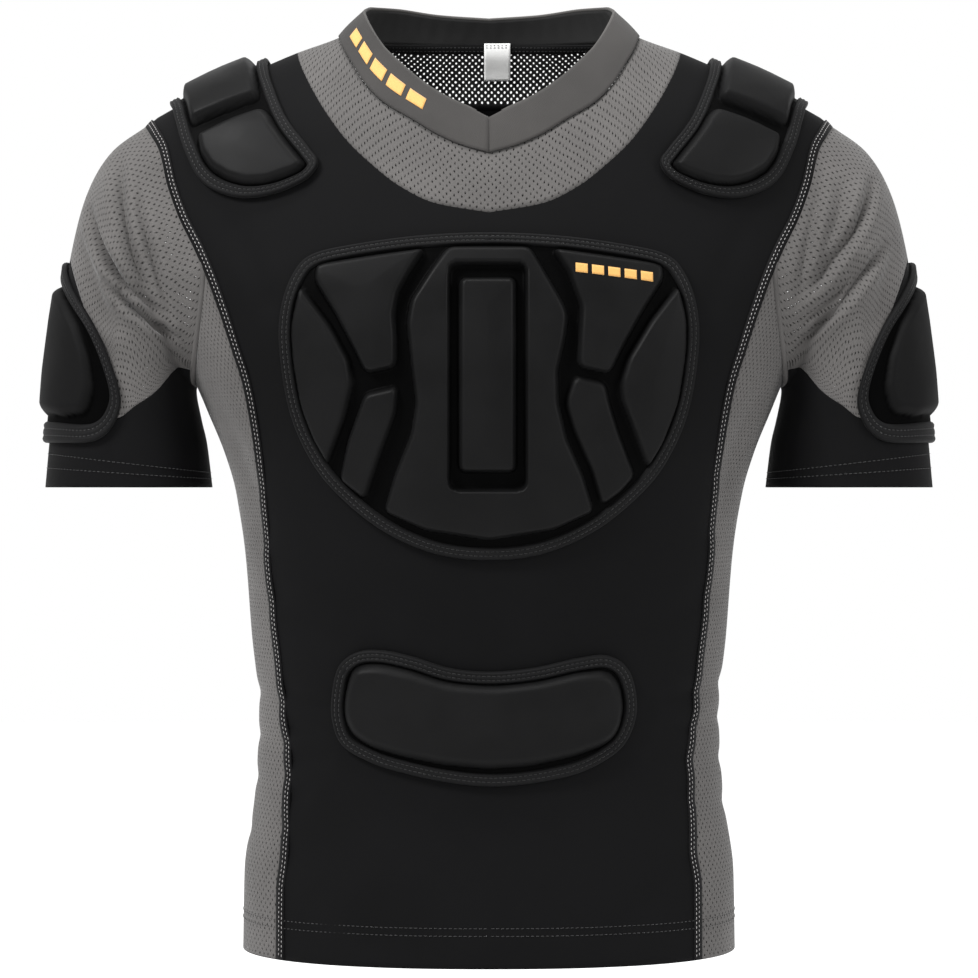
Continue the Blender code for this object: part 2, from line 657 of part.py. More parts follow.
def pad_tape(name, seat, rim, material):
    """Edge tape sewn round a pad, with a rounded top."""
    inner = rim + inward_normals(rim) * seat[5]
    profile = [(0.0, PAD_SEAT), (0.0, 0.0040), (0.25, TAPE_TOP), (0.85, TAPE_TOP), (1.0, PAD_SEAT)]
    work = bmesh.new()
    loops = []
    for i in range(len(rim)):
        loop = []
        for share, height in profile:
            x, y = rim[i] * (1 - share) + inner[i] * share
            loop.append(work.verts.new((x, y, height)))
        loops.append(loop)
    for i, loop in enumerate(loops):
        following = loops[(i + 1) % len(loops)]
        for k in range(len(profile)):
            m = (k + 1) % len(profile)
            work.faces.new((loop[k], loop[m], following[m], following[k]))
    bmesh.ops.recalc_face_normals(work, faces=work.faces[:])
    bmesh.ops.triangulate(work, faces=work.faces[:])
    work.verts.index_update()
    thing = bend(work, name, seat, material, shirt)
    work.free()
    return thing


def along_seam(table, count, side):
    """Evenly spaced points of a seam on the body form, from the middle to the shoulder line."""
    line = smooth(table)
    xs = table[-1][0] * (1 - (1 - np.linspace(0, 1, 300)) ** 2)
    points = np.array([body(x, float(line(x)), side) for x in xs])
    points[-1][1] = 0.0
    length = np.concatenate([[0.0], np.cumsum(np.linalg.norm(np.diff(points, axis=0), axis=1))])
    places = np.linspace(0, length[-1], count + 1)
    return np.column_stack([np.interp(places, length, points[:, i]) for i in range(3)])


def beside(seam, distance):
    """Move the points of a seam sideways over the body form, towards the neck if positive."""
    along = np.gradient(seam, axis=0)
    distance = distance if seam[0][1] < 0 else -distance
    moved = []
    for point, run in zip(seam, along):
        across = np.cross(outward(point), run)
        moved.append(point + across / np.linalg.norm(across) * distance)
    moved[0][0] = 0.0
    return np.array(moved)


def turn_of(point):
    """Angle round the body form of one of its points."""
    angle = angle_of(point[0], point[2])
    return angle if point[1] <= 0 else math.pi - angle


def back_neck(x):
    """Height of the neck seam at the back."""
    return BACK_NECK_RISE * (1 - (x / NECK_SEAM[-1][0]) ** 2)


def back_yoke_line(x):
    """Height of the curved seam under the back yoke."""
    end_x, end_z = YOKE_SEAM[-1]
    return BACK_YOKE_Z + (end_z - BACK_YOKE_Z) * (x / end_x) ** 2.5


def seam_heights():
    """Heights of the shared points of the side seam, from the hem to the shoulder tip."""
    lower = [HEM_Z + (JOIN_Z - HEM_Z) * i / LOWER_ROWS for i in range(LOWER_ROWS)]
    upper = [armhole_height(1 - i / ARMHOLE_ROWS) for i in range(ARMHOLE_ROWS + 1)]
    return lower + upper


def torso_panel(name, yoke_edge, side, material):
    """Front or back panel: half of it between the hem, the side seam, the ridge and the yoke."""
    heights = seam_heights()
    shares = [(z - HEM_Z) / (TIP_Z - HEM_Z) for z in heights]
    ridge_x = np.linspace(YOKE_SEAM[-1][0], SHOULDER_TIP_X, RIDGE_COLUMNS + 1)[1:]
    ridge = np.array([(x, 0.0, ridge_z(x)) for x in ridge_x])
    top_edge = np.vstack([beside(yoke_edge, -YOKE_GAP / 2), ridge])
    top_edge[len(yoke_edge) - 1:, 1] = side * SEAM_GAP / 2
    under_yoke = np.linspace(0, YOKE_SHARE, len(yoke_edge))
    columns = list(under_yoke) + list(np.linspace(YOKE_SHARE, 1, RIDGE_COLUMNS + 1)[1:])
    rows = []
    for t in shares[:-1]:
        row = []
        for s, top in zip(columns, top_edge):
            z = HEM_Z + t * (top[2] - HEM_Z)
            across = s + (top[0] / seam_x(top[2]) - s) * t ** FAN
            row.append(body(across * (seam_x(z) - SEAM_GAP / 2), z, side))
        rows.append(row)
    rows.append(list(top_edge))
    return panel(name, rows, material, outward=-side, mirrored=True)


def yoke(name, upper, lower, side, material):
    """Net band between the neckline and the yoke seam, half of it."""
    lower = beside(lower, YOKE_GAP / 2)
    rows = [list(lower)]
    for share in (1 / 3, 2 / 3):
        row = []
        for start, end in zip(lower, upper):
            turn = turn_of(start) + (turn_of(end) - turn_of(start)) * share
            row.append(around(turn, start[2] + (end[2] - start[2]) * share))
        rows.append(row)
    rows.append(list(upper))
    for row in rows:
        row[0][0] = 0.0
        row[-1][1] = side * SEAM_GAP / 2
    return panel(name, rows, material, outward=-side, mirrored=True)


# Clear the file and make the collections
for thing in list(bpy.data.objects):
    bpy.data.objects.remove(thing)
shirt = bpy.data.collections.new("padded_compression_shirt")
guides = bpy.data.collections.new("cutters")
bpy.context.scene.collection.children.link(shirt)
bpy.context.scene.collection.children.link(guides)

materials = {}
for label, (colour, roughness) in COLOURS.items():
    material = bpy.data.materials.new(label)
    material.use_nodes = True
    shader = material.node_tree.nodes["Principled BSDF"]
    shader.inputs["Base Color"].default_value = (*colour, 1.0)
    shader.inputs["Roughness"].default_value = roughness
    materials[label] = material

# Torso panels and yokes
front_neck = along_seam(NECK_SEAM, YOKE_COLUMNS, -1)
front_yoke = along_seam(YOKE_SEAM, YOKE_COLUMNS, -1)
torso_panel("front_panel", front_yoke, -1, materials["black_stretch"])
yoke("neck_yoke", front_neck, front_yoke, -1, materials["grey_net"])

neck_table = [(x, back_neck(x)) for x in np.linspace(0, NECK_SEAM[-1][0], 12)]
low_table = [(x, back_yoke_line(x)) for x in np.linspace(0, YOKE_SEAM[-1][0], 12)]
back_top = along_seam(neck_table, BACK_YOKE_COLUMNS, 1)
back_low = along_seam(low_table, BACK_YOKE_COLUMNS, 1)
torso_panel("back_panel", back_low, 1, materials["black_stretch"])
yoke("back_yoke", back_top, back_low, 1, materials["black_net"])
front_neck_line = smooth([(math.degrees(turn_of(p)), p[2]) for p in front_neck])
back_neck_line = smooth([(math.degrees(turn_of(p)), p[2]) for p in back_top])

# Side panels
for side, word in ((1, "right"), (-1, "left")):
    rows = []
    for r in range(LOWER_ROWS + 1):
        row = []
        for c in range(2 * PIT_COLUMNS + 1):
            share = c / (2 * PIT_COLUMNS)
            top = pit_height(share) - 0.5 * SEAM_GAP
            z = HEM_Z + (top - HEM_Z) * r / LOWER_ROWS
            x, y, z = side_point(SIDE_INSET + (1 - 2 * SIDE_INSET) * share, z)
            row.append((side * x, y, z))
        rows.append(row)
    panel("side_panel_" + word, rows, materials["grey_net"], outward=side)

# Sleeves: net above and stretch cloth below the slanted seam
angles = []
shared = list(SHARED_ANGLES) + [2 * math.pi]
for start, end in zip(shared[:-1], shared[1:]):
    angles.append(start)
    middle = math.degrees((start + end) / 2)
    if 40 < min(middle, 360 - middle) < 150:
        angles.append((start + end) / 2)
for arm, word in ((1, "right"), (-1, "left")):
    seam = []
    for angle in angles:
        turn = math.degrees(angle)
        seam.append(float(net_end(min(turn, 360 - turn))))
    clear = [NET_GAP * (1 + 2.5 * max(0.0, 1 - end / 0.4)) for end in seam]
    chord = {}
    for i, angle in enumerate(angles):
        if angle not in shared:
            before = sleeve(angles[i - 1], 0.0)
            after = sleeve(angles[(i + 1) % len(angles)], 0.0)
            chord[i] = (before + after) / 2
    upper = [i for i in range(len(angles)) if seam[i] > 0.02]
    order = [i for i in upper if angles[i] > math.pi] + [i for i in upper if angles[i] < math.pi]
    rows = []
    for r in range(SLEEVE_ROWS + 1):
        row = []
        for i in order:
            share = SLEEVE_START + (seam[i] - clear[i] - SLEEVE_START) * r / SLEEVE_ROWS
            if r == 0 and i in chord:
                row.append(chord[i] * np.array([arm, 1, 1]))
            else:
                row.append(sleeve_cloth(arm, angles[i], share))
        rows.append(row)
    panel("sleeve_" + word, rows, materials["grey_net"], outward=arm)
    rows = []
    for r in range(CUFF_ROWS + 1):
        row = []
        for i, angle in enumerate(angles):
            top = seam[i] + clear[i] if seam[i] > 0.02 else SLEEVE_START
            share = top + (1.0 - top) * r / CUFF_ROWS
            if r == 0 and i in chord and top == SLEEVE_START:
                row.append(chord[i] * np.array([arm, 1, 1]))
            else:
                row.append(sleeve_cloth(arm, angle, share))
        rows.append(row)
    panel("sleeve_lower_" + word, rows, materials["black_stretch"], closed=True, outward=arm)

# Collar and its inside facing
collar_top = [smooth(COLLAR_TOP, k) for k in range(1, 4)]


def collar_point(turn, rise):
    """Point of the collar by degrees round the neck and rise from the seam to the top edge."""
    angle = math.radians(turn)
    table = front_neck_line if turn < 90 else back_neck_line
    low = around(angle, float(table(turn)))
    high = np.array([axis(turn) for axis in collar_top])
    swell = COLLAR_SWELL * math.sin(math.pi * rise)
    away = np.array([low[0], low[1], 0.0])
    stand = outward(low) * COLLAR_STAND * (1 - rise)
    return low + (high - low) * rise + stand + away / np.linalg.norm(away) * swell


turns = [math.degrees(turn_of(p)) for p in front_neck[:-1]]
turns += [math.degrees(turn_of(p)) for p in back_top[::-1]]
for name, material, offset, thickness, low_rise, high_rise in (
        ("collar", "collar_knit", 0.0, CLOTH, 0.0, 1.0),
        ("collar_facing", "facing_knit", -FACING_INSET, FACING_CLOTH, 0.08, 0.97)):
    rows = []
    for rise in np.linspace(low_rise, high_rise, 4):
        row = []
        for turn in turns:
            inside = min(max(turn, 1.0), 179.0)
            normal = normal_of(collar_point, inside, min(max(rise, 0.1), 0.9), 0.8, 0.08)
            point = collar_point(turn, rise) + normal * offset
            if turn == 0:
                point[0] = SEAM_GAP / 2
            if turn == 180:
                point[0] = 0.0
            row.append(point)
        rows.append(row)
    panel(name, rows, materials[material], thickness=thickness, mirrored=True)

# Blank label hanging inside the back of the neck
rows = []
for z in (LABEL_BOTTOM_Z, 0.0, LABEL_TOP_Z):
    row = []
    for x in (LABEL_X - LABEL_WIDTH / 2, LABEL_X, LABEL_X + LABEL_WIDTH / 2):
        place = body(x, min(z, 0.0045), 1)
        row.append((x, place[1] - LABEL_STAND, z))
    rows.append(row)
panel("neck_label", rows, materials["label_cloth"], thickness=LABEL_CLOTH, outward=1)

# Chest pad; a seat is a chart, its cells, the arm's side, the lift, the way out and the tape
foam = materials["molded_foam"]
tape = materials["edge_tape"]
seat = (front_chart, (0.022, 0.045), 1, FRONT_LIFT, 1, TAPE_WIDTH)
rim = CHEST_RIM + [(-x, z) for x, z in CHEST_RIM[-2:0:-1]]
rim = closed_curve(rim, 36)
pad_base("chest_pad_base", seat, rim, foam)
pad_tape("chest_pad_tape", seat, rim, tape)
for name, (top, outline) in CHEST_BLOCKS.items():
    pad_block(name, seat, outline, rim, top, foam)
slot_work = flat_prism(rounded(CHEST_SLOT, SLOT_CORNER), SLOT_LOW, SLOT_HIGH, 0.0, seat[1])
slot = bend(slot_work, "slot_cutter", seat, None, guides)
slot_work.free()
slot.hide_render = True
slot.display_type = "WIRE"
cut = bpy.data.objects["chest_block_middle"].modifiers.new("slot", "BOOLEAN")
cut.operation = "DIFFERENCE"
cut.solver = "EXACT"
cut.object = slot

# Abdomen pad
seat = (front_chart, (0.024, 0.045), 1, FRONT_LIFT, 1, TAPE_WIDTH)
rim = closed_curve(WAIST_RIM, 28)
pad_base("abdomen_pad_base", seat, rim, foam)
pad_tape("abdomen_pad_tape", seat, rim, tape)
pad_block("abdomen_pad_block", seat, WAIST_BLOCK, rim, 0.0125, foam)

# Shoulder pads and arm pads
for side, word in ((1, "right"), (-1, "left")):
    seat = (shoulder_chart, (0.03, 0.0115), side, SHOULDER_LIFT, -1, SHOULDER_TAPE)
    rim = closed_curve(SHOULDER_RIM, 28)
    pad_base("shoulder_pad_base_" + word, seat, rim, foam)
    pad_tape("shoulder_pad_tape_" + word, seat, rim, tape)
    for place, (top, outline) in SHOULDER_BLOCKS.items():
        pad_block("shoulder_pad_" + place + "_" + word, seat, outline, rim, top, foam)
    seat = (arm_chart, (0.016, 0.05), side, ARM_LIFT, 1, TAPE_WIDTH)
    rim = [(math.radians(a) * ARM_SPREAD, s * ARM_LENGTH) for a, s in ARM_RIM]
    block = [(math.radians(a) * ARM_SPREAD, s * ARM_LENGTH) for a, s in ARM_BLOCK]
    rim = closed_curve(rim, 28)
    pad_base("arm_pad_base_" + word, seat, rim, foam)
    pad_tape("arm_pad_tape_" + word, seat, rim, tape)
    pad_block("arm_pad_block_" + word, seat, block, rim, ARM_BLOCK_TOP, foam)
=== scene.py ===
import math

import bmesh
import bpy
import numpy as np
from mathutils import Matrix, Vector


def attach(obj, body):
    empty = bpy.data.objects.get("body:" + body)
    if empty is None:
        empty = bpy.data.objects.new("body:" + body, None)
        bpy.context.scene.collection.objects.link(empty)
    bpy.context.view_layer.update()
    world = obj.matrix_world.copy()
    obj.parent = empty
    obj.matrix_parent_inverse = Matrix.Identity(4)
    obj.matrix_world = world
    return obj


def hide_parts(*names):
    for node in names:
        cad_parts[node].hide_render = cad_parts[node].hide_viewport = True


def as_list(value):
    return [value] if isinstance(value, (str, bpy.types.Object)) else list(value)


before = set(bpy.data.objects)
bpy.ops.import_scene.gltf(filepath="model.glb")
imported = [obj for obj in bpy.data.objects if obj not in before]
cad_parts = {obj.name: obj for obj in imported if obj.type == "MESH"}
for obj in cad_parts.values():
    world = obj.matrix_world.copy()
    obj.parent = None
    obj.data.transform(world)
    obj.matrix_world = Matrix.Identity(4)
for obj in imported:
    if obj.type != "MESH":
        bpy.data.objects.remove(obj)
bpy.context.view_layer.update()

# Driving sizes, the same as in the solids
CLOTH = 0.0012
SEAM_GAP = 0.0003
HEM_Z = -0.687
TIP_Z = -0.067
JOIN_Z = -0.178
PIT_Z = -0.262
FOLD_FLOOR = -0.256
SHOULDER_TIP_X = 0.2576
YOKE_SHARE = 0.78
FAN = 6
PAD_SEAT = 0.0018
BASE_TOP = 0.0036
TAPE_TOP = 0.0062
TAPE_WIDTH = 0.0092
SHOULDER_TAPE = 0.0076
BLOCK_CLEAR = 0.0014
FRONT_LIFT = 0.0007
SHOULDER_LIFT = 0.0012
ARM_LIFT = 0.0005
ARM_SPREAD = 0.066
ARM_LENGTH = 0.262
NET_GAP = 0.0006
SLEEVE_START = 0.002
COLLAR_STAND = 0.0017
COLLAR_BULGE = 0.0014
PIT_ROUND = 2.2
SIDE_CLEAR = 0.0014

# Sizes of folds, edges, thin walls and stitch rows in the dressing
ROLL = 0.0013
FACING_OFFSET = -0.0014
FACING_SPAN = (0.08, 0.97)
FACING_WALL = 0.0010
WRINKLE = 0.0004
LABEL_WALL = 0.0005
HEM_ROWS = (0.0235, 0.0290)
CUFF_ROWS = (0.945, 0.968)
SEAM_ROWS = (0.0018, 0.0046)
SEAM_ROW_LIFT = 0.0014
INSIDE_ROWS = (-0.0015, 0.0015)
INSIDE_ROW_LIFT = 0.0009
ARMHOLE_SPAN = (97.0, 263.0)
NET_LEAST = 0.02
FLANK = 0.30
CREASE_TAPER = 0.8
BLUNT_CORNER = 22.0
TUCK = 0.003
HEM_LIFT = CLOTH + 0.00025

# Cells of the dressed cloth
EDGE_STEPS = 56
PIT_STEPS = 40
CREASE_STEPS = 14
LOWER_ROWS = 110
ARMHOLE_ROWS = 42
YOKE_CELLS = 44
YOKE_ROWS = 13
SIDE_ROWS = 131
COLLAR_ROWS = 13
RIDGE_CELLS = 14
PIT_CELLS = 20
NET_ROUND_CELLS = 250
NET_CELLS = 100
CUFF_ROUND_CELLS = 168
CUFF_CELLS = 44
RIM_POINTS = 420
CHART_STEP = 0.0015

# Body form: height, half width, front depth, back depth, squareness of the section
BODY = [
    (0.014, 0.09, 0.036, 0.074, 2.2), (0.0, 0.1125, 0.045, 0.0775, 2.2),
    (-0.0137, 0.149, 0.053, 0.086, 2.2), (-0.0228, 0.17, 0.058, 0.091, 2.25),
    (-0.04, 0.208, 0.067, 0.0975, 2.3), (-0.055, 0.239, 0.076, 0.1025, 2.35),
    (-0.067, 0.2576, 0.083, 0.1055, 2.35), (-0.08, 0.266, 0.089, 0.109, 2.4),
    (-0.1, 0.271, 0.096, 0.113, 2.4), (-0.13, 0.268, 0.106, 0.119, 2.4),
    (-0.16, 0.259, 0.115, 0.124, 2.4), (-0.2, 0.244, 0.124, 0.128, 2.4),
    (-0.24, 0.229, 0.127, 0.129, 2.4), (-0.28, 0.213, 0.125, 0.126, 2.4),
    (-0.312, 0.2, 0.121, 0.121, 2.4), (-0.342, 0.191, 0.117, 0.116, 2.35),
    (-0.388, 0.1835, 0.112, 0.108, 2.3), (-0.45, 0.1785, 0.107, 0.099, 2.3),
    (-0.509, 0.173, 0.105, 0.095, 2.3), (-0.57, 0.176, 0.107, 0.102, 2.3),
    (-0.63, 0.184, 0.111, 0.113, 2.3), (-0.687, 0.185, 0.115, 0.12, 2.3),
]

# Seam between the front or back panel and the side: height, distance from the middle
SIDE_SEAM = [
    (-0.067, 0.2576), (-0.075, 0.2515), (-0.0893, 0.2426), (-0.118, 0.2347), (-0.1416, 0.2257),
    (-0.1659, 0.2131), (-0.1883, 0.2032), (-0.2141, 0.1936), (-0.2397, 0.1851), (-0.2638, 0.1775),
    (-0.2914, 0.1724), (-0.314, 0.1696), (-0.3412, 0.1675), (-0.387, 0.1645), (-0.433, 0.1604),
    (-0.47, 0.156), (-0.503, 0.1535), (-0.543, 0.149), (-0.571, 0.15), (-0.605, 0.151),
    (-0.635, 0.154), (-0.687, 0.154),
]

# Front neckline and front yoke seam, half of each: distance from the middle, height
NECK_SEAM = [
    (0.0, -0.0975), (0.019, -0.092), (0.0375, -0.0838), (0.057, -0.0716), (0.077, -0.059),
    (0.0915, -0.043), (0.101, -0.027), (0.1085, -0.013), (0.1125, 0.0),
]
YOKE_SEAM = [
    (0.0, -0.142), (0.039, -0.135), (0.065, -0.122), (0.087, -0.104), (0.104, -0.087),
    (0.1185, -0.067), (0.132, -0.0435), (0.1415, -0.022), (0.1445, -0.012),
]
BACK_NECK_RISE = 0.005
BACK_YOKE_Z = -0.038
BACK_YOKE_BEND = 2.5
BINDING_DROP = 0.0008

# Collar top edge, half of it: angle round the neck in degrees, x, y, z
COLLAR_TOP = [
    (0.0, 0.0002, -0.083, -0.07), (2.4, 0.015, -0.08, -0.062), (5.4, 0.03, -0.074, -0.0545),
    (9.5, 0.047, -0.0655, -0.043), (14.8, 0.0655, -0.055, -0.0265), (21.9, 0.079, -0.0445, -0.012),
    (31.4, 0.0875, -0.032, 0.002), (45.6, 0.0925, -0.017, 0.013), (90.0, 0.095, 0.006, 0.022),
    (112.0, 0.09, 0.033, 0.029), (136.6, 0.07, 0.054, 0.031), (159.6, 0.037, 0.065, 0.028),
    (180.0, 0.0, 0.068, 0.026),
]

# Sleeve sections: outer x and z, inner x and z, half depth
SLEEVE = [
    (0.285, -0.087, 0.224, -0.2665, 0.075), (0.303, -0.118, 0.2235, -0.2735, 0.077),
    (0.315, -0.163, 0.2215, -0.2825, 0.075), (0.321, -0.21, 0.219, -0.293, 0.072),
    (0.328, -0.265, 0.2155, -0.308, 0.069), (0.335, -0.34, 0.2115, -0.34, 0.068),
]

# Where the net ends on the sleeve: angle round from the outside in degrees, share along
NET_END = [
    (0, 0.5), (30, 0.52), (60, 0.6), (78, 0.72), (87, 0.845), (104, 0.767),
    (119, 0.64), (135, 0.38), (146, 0.15), (156, 0.0), (180, 0.0),
]
STAND_OFF = [(0, 0.0004), (60, 0.0006), (100, 0.001), (135, 0.002), (160, 0.0032), (180, 0.0034)]

# Sleeve folds, front and back of each arm: start, bend and end as x z, depth, width
FOLDS = {
    (1, -1): [
        ((0.2845, -0.108), (0.28, -0.148), (0.2288, -0.1999), 0.0078, 0.0042),
        ((0.295, -0.156), (0.27, -0.192), (0.225, -0.24), 0.009, 0.004),
        ((0.2744, -0.17), (0.258, -0.196), (0.227, -0.222), 0.007, 0.0034),
        ((0.2452, -0.0988), (0.236, -0.1444), (0.224, -0.21), 0.0067, 0.004),
        ((0.262, -0.11), (0.261, -0.15), (0.235, -0.19), 0.0043, 0.0056),
        ((0.3, -0.145), (0.298, -0.19), (0.276, -0.23), 0.0032, 0.0066),
        ((0.308, -0.235), (0.275, -0.26), (0.24, -0.272), 0.0035, 0.009),
    ],
    (-1, -1): [
        ((0.2975, -0.128), (0.288, -0.18), (0.24, -0.215), 0.0093, 0.0036),
        ((0.284, -0.185), (0.265, -0.209), (0.23, -0.232), 0.0087, 0.0034),
        ((0.2744, -0.09), (0.274, -0.156), (0.234, -0.232), 0.0072, 0.0046),
        ((0.259, -0.125), (0.251, -0.17), (0.231, -0.22), 0.0067, 0.0042),
        ((0.304, -0.15), (0.296, -0.19), (0.27, -0.23), 0.0049, 0.0062),
        ((0.3, -0.225), (0.275, -0.255), (0.243, -0.268), 0.0035, 0.009),
    ],
    (1, 1): [
        ((0.28, -0.15), (0.26, -0.205), (0.229, -0.25), 0.0046, 0.009),
        ((0.262, -0.2), (0.245, -0.23), (0.222, -0.25), 0.0036, 0.007),
        ((0.3, -0.215), (0.275, -0.245), (0.244, -0.262), 0.003, 0.009),
    ],
    (-1, 1): [
        ((0.272, -0.146), (0.254, -0.205), (0.226, -0.256), 0.0046, 0.009),
        ((0.287, -0.184), (0.264, -0.215), (0.236, -0.236), 0.0038, 0.007),
        ((0.303, -0.228), (0.277, -0.254), (0.246, -0.27), 0.0026, 0.009),
    ],
}

# Soft folds of the torso: start x z, end x z, side, how far it sinks, width
TORSO_FOLDS = [
    (0.2, -0.268, 0.176, -0.33, 0, 0.0022, 0.009), (-0.202, -0.272, -0.178, -0.34, 0, 0.0024, 0.009),
    (0.186, -0.3, 0.166, -0.372, 0, 0.0016, 0.008), (-0.186, -0.31, -0.166, -0.38, 0, 0.0016, 0.008),
    (0.182, -0.485, 0.118, -0.5, 0, 0.0018, 0.007), (0.18, -0.512, 0.128, -0.521, 0, 0.0014, 0.006),
    (0.184, -0.545, 0.12, -0.538, 0, 0.0016, 0.007), (0.186, -0.58, 0.138, -0.566, 0, 0.0013, 0.007),
    (-0.182, -0.492, -0.124, -0.506, 0, 0.0018, 0.007), (-0.181, -0.526, -0.134, -0.53, 0, 0.0014, 0.006),
    (-0.184, -0.56, -0.126, -0.548, 0, 0.0016, 0.007), (-0.186, -0.6, -0.142, -0.588, 0, 0.0012, 0.007),
    (0.148, -0.61, 0.09, -0.668, -1, 0.0012, 0.011), (-0.146, -0.622, -0.092, -0.672, -1, 0.0012, 0.011),
    (0.158, -0.42, 0.11, -0.452, -1, 0.0012, 0.01), (-0.158, -0.425, -0.112, -0.455, -1, 0.0012, 0.01),
    (0.185, -0.15, 0.16, -0.205, -1, 0.0014, 0.009), (-0.188, -0.146, -0.164, -0.205, -1, 0.0014, 0.009),
    (0.11, -0.12, 0.04, -0.47, 1, 0.0012, 0.018), (-0.11, -0.12, -0.04, -0.47, 1, 0.0012, 0.018),
    (0.14, -0.48, 0.02, -0.5, 1, 0.0024, 0.012), (-0.02, -0.5, -0.14, -0.482, 1, 0.0024, 0.012),
    (0.13, -0.525, 0.01, -0.515, 1, 0.0018, 0.01), (-0.02, -0.53, -0.15, -0.545, 1, 0.0018, 0.011),
    (0.185, -0.19, 0.15, -0.3, 1, 0.0022, 0.014), (-0.185, -0.19, -0.15, -0.3, 1, 0.0022, 0.014),
    (0.12, -0.58, 0.06, -0.67, 1, 0.0014, 0.014), (-0.12, -0.58, -0.06, -0.67, 1, 0.0014, 0.014),
]

# Pad outlines, x and height on the front of the body form
CHEST_RIM = [
    (0.0, -0.1578), (0.05, -0.16), (0.1, -0.1665), (0.127, -0.173), (0.1395, -0.185),
    (0.148, -0.207), (0.15, -0.236), (0.1435, -0.28), (0.13, -0.3145), (0.11, -0.3425),
    (0.0765, -0.3705), (0.0385, -0.3875), (0.0, -0.392),
]
CHEST_BLOCKS = {
    "chest_block_upper_left": (0.0125, [
        (-0.1215, -0.1795), (-0.046, -0.1712), (-0.0565, -0.1868), (-0.0645, -0.2012),
        (-0.0675, -0.217), (-0.066, -0.2334), (-0.066, -0.253), (-0.0865, -0.2575),
        (-0.0944, -0.2411), (-0.1085, -0.2152), (-0.1235, -0.1912)]),
    "chest_block_upper_right": (0.0125, [
        (0.046, -0.1712), (0.1215, -0.1795), (0.124, -0.19), (0.1095, -0.212),
        (0.0935, -0.24), (0.085, -0.2575), (0.063, -0.253), (0.064, -0.2334),
        (0.0655, -0.212), (0.0565, -0.1868)]),
    "chest_block_outer_left": (0.012, [
        (-0.134, -0.196), (-0.1124, -0.2252), (-0.0994, -0.2489), (-0.097, -0.2653),
        (-0.1025, -0.2889), (-0.115, -0.3225), (-0.1254, -0.3088), (-0.135, -0.2807),
        (-0.14, -0.2484), (-0.14, -0.2247)]),
    "chest_block_outer_right": (0.012, [
        (0.134, -0.196), (0.14, -0.219), (0.1395, -0.243), (0.134, -0.277),
        (0.1235, -0.31), (0.112, -0.324), (0.1025, -0.298), (0.094, -0.276),
        (0.093, -0.264), (0.0985, -0.2471), (0.1146, -0.2209)]),
    "chest_block_lower_left": (0.0112, [
        (-0.0873, -0.2725), (-0.065, -0.2677), (-0.0665, -0.2855), (-0.0789, -0.3193),
        (-0.0878, -0.347), (-0.105, -0.3333), (-0.0991, -0.3053)]),
    "chest_block_lower_right": (0.0092, [
        (0.061, -0.2605), (0.082, -0.265), (0.085, -0.279), (0.092, -0.301),
        (0.103, -0.33), (0.0928, -0.342), (0.08, -0.3515), (0.073, -0.327),
        (0.061, -0.3), (0.0545, -0.279)]),
    "chest_block_middle": (0.0125, [
        (-0.029, -0.17), (0.029, -0.17), (0.0385, -0.186), (0.051, -0.207),
        (0.0555, -0.217), (0.0535, -0.2334), (0.048, -0.2556), (0.0485, -0.2791),
        (0.0545, -0.304), (0.066, -0.33), (0.0735, -0.356), (0.0445, -0.3695),
        (0.0, -0.3765), (-0.0445, -0.3695), (-0.0735, -0.356), (-0.066, -0.33),
        (-0.0545, -0.301), (-0.051, -0.2791), (-0.0545, -0.25), (-0.0575, -0.2235),
        (-0.055, -0.207), (-0.041, -0.186)]),
    "chest_bar": (0.012, [
        (-0.0205, -0.1919), (0.0185, -0.1919), (0.0185, -0.3276), (-0.0205, -0.3276)]),
}
CHEST_STEP = 0.00112
CHEST_CORNER = 0.005
CHEST_EDGE = 0.0040
CHEST_SLOT = [(-0.0285, -0.1815), (0.0265, -0.1815), (0.0265, -0.341), (-0.0285, -0.341)]
WAIST_RIM = [
    (-0.1077, -0.47), (-0.0951, -0.4595), (-0.0768, -0.4578), (-0.0535, -0.4626), (-0.0278, -0.4705),
    (0.002, -0.473), (0.033, -0.47), (0.064, -0.4633), (0.086, -0.462), (0.101, -0.474),
    (0.106, -0.5), (0.1, -0.522), (0.088, -0.535), (0.064, -0.547), (0.03, -0.554),
    (0.0, -0.556), (-0.0311, -0.553), (-0.0615, -0.5467), (-0.0841, -0.5399), (-0.1048, -0.5282),
    (-0.1123, -0.51), (-0.1125, -0.4898),
]
WAIST_BLOCK = [
    (-0.0948, -0.4694), (-0.0766, -0.4676), (-0.0534, -0.4731), (-0.0277, -0.4802), (0.003, -0.483),
    (0.034, -0.48), (0.064, -0.474), (0.085, -0.473), (0.0925, -0.483), (0.0948, -0.5),
    (0.092, -0.5165), (0.084, -0.5255), (0.0606, -0.534), (0.0299, -0.5405), (0.0, -0.5425),
    (-0.031, -0.54), (-0.0613, -0.534), (-0.0839, -0.5275), (-0.0964, -0.5195), (-0.102, -0.5074),
    (-0.102, -0.4939), (-0.099, -0.48),
]

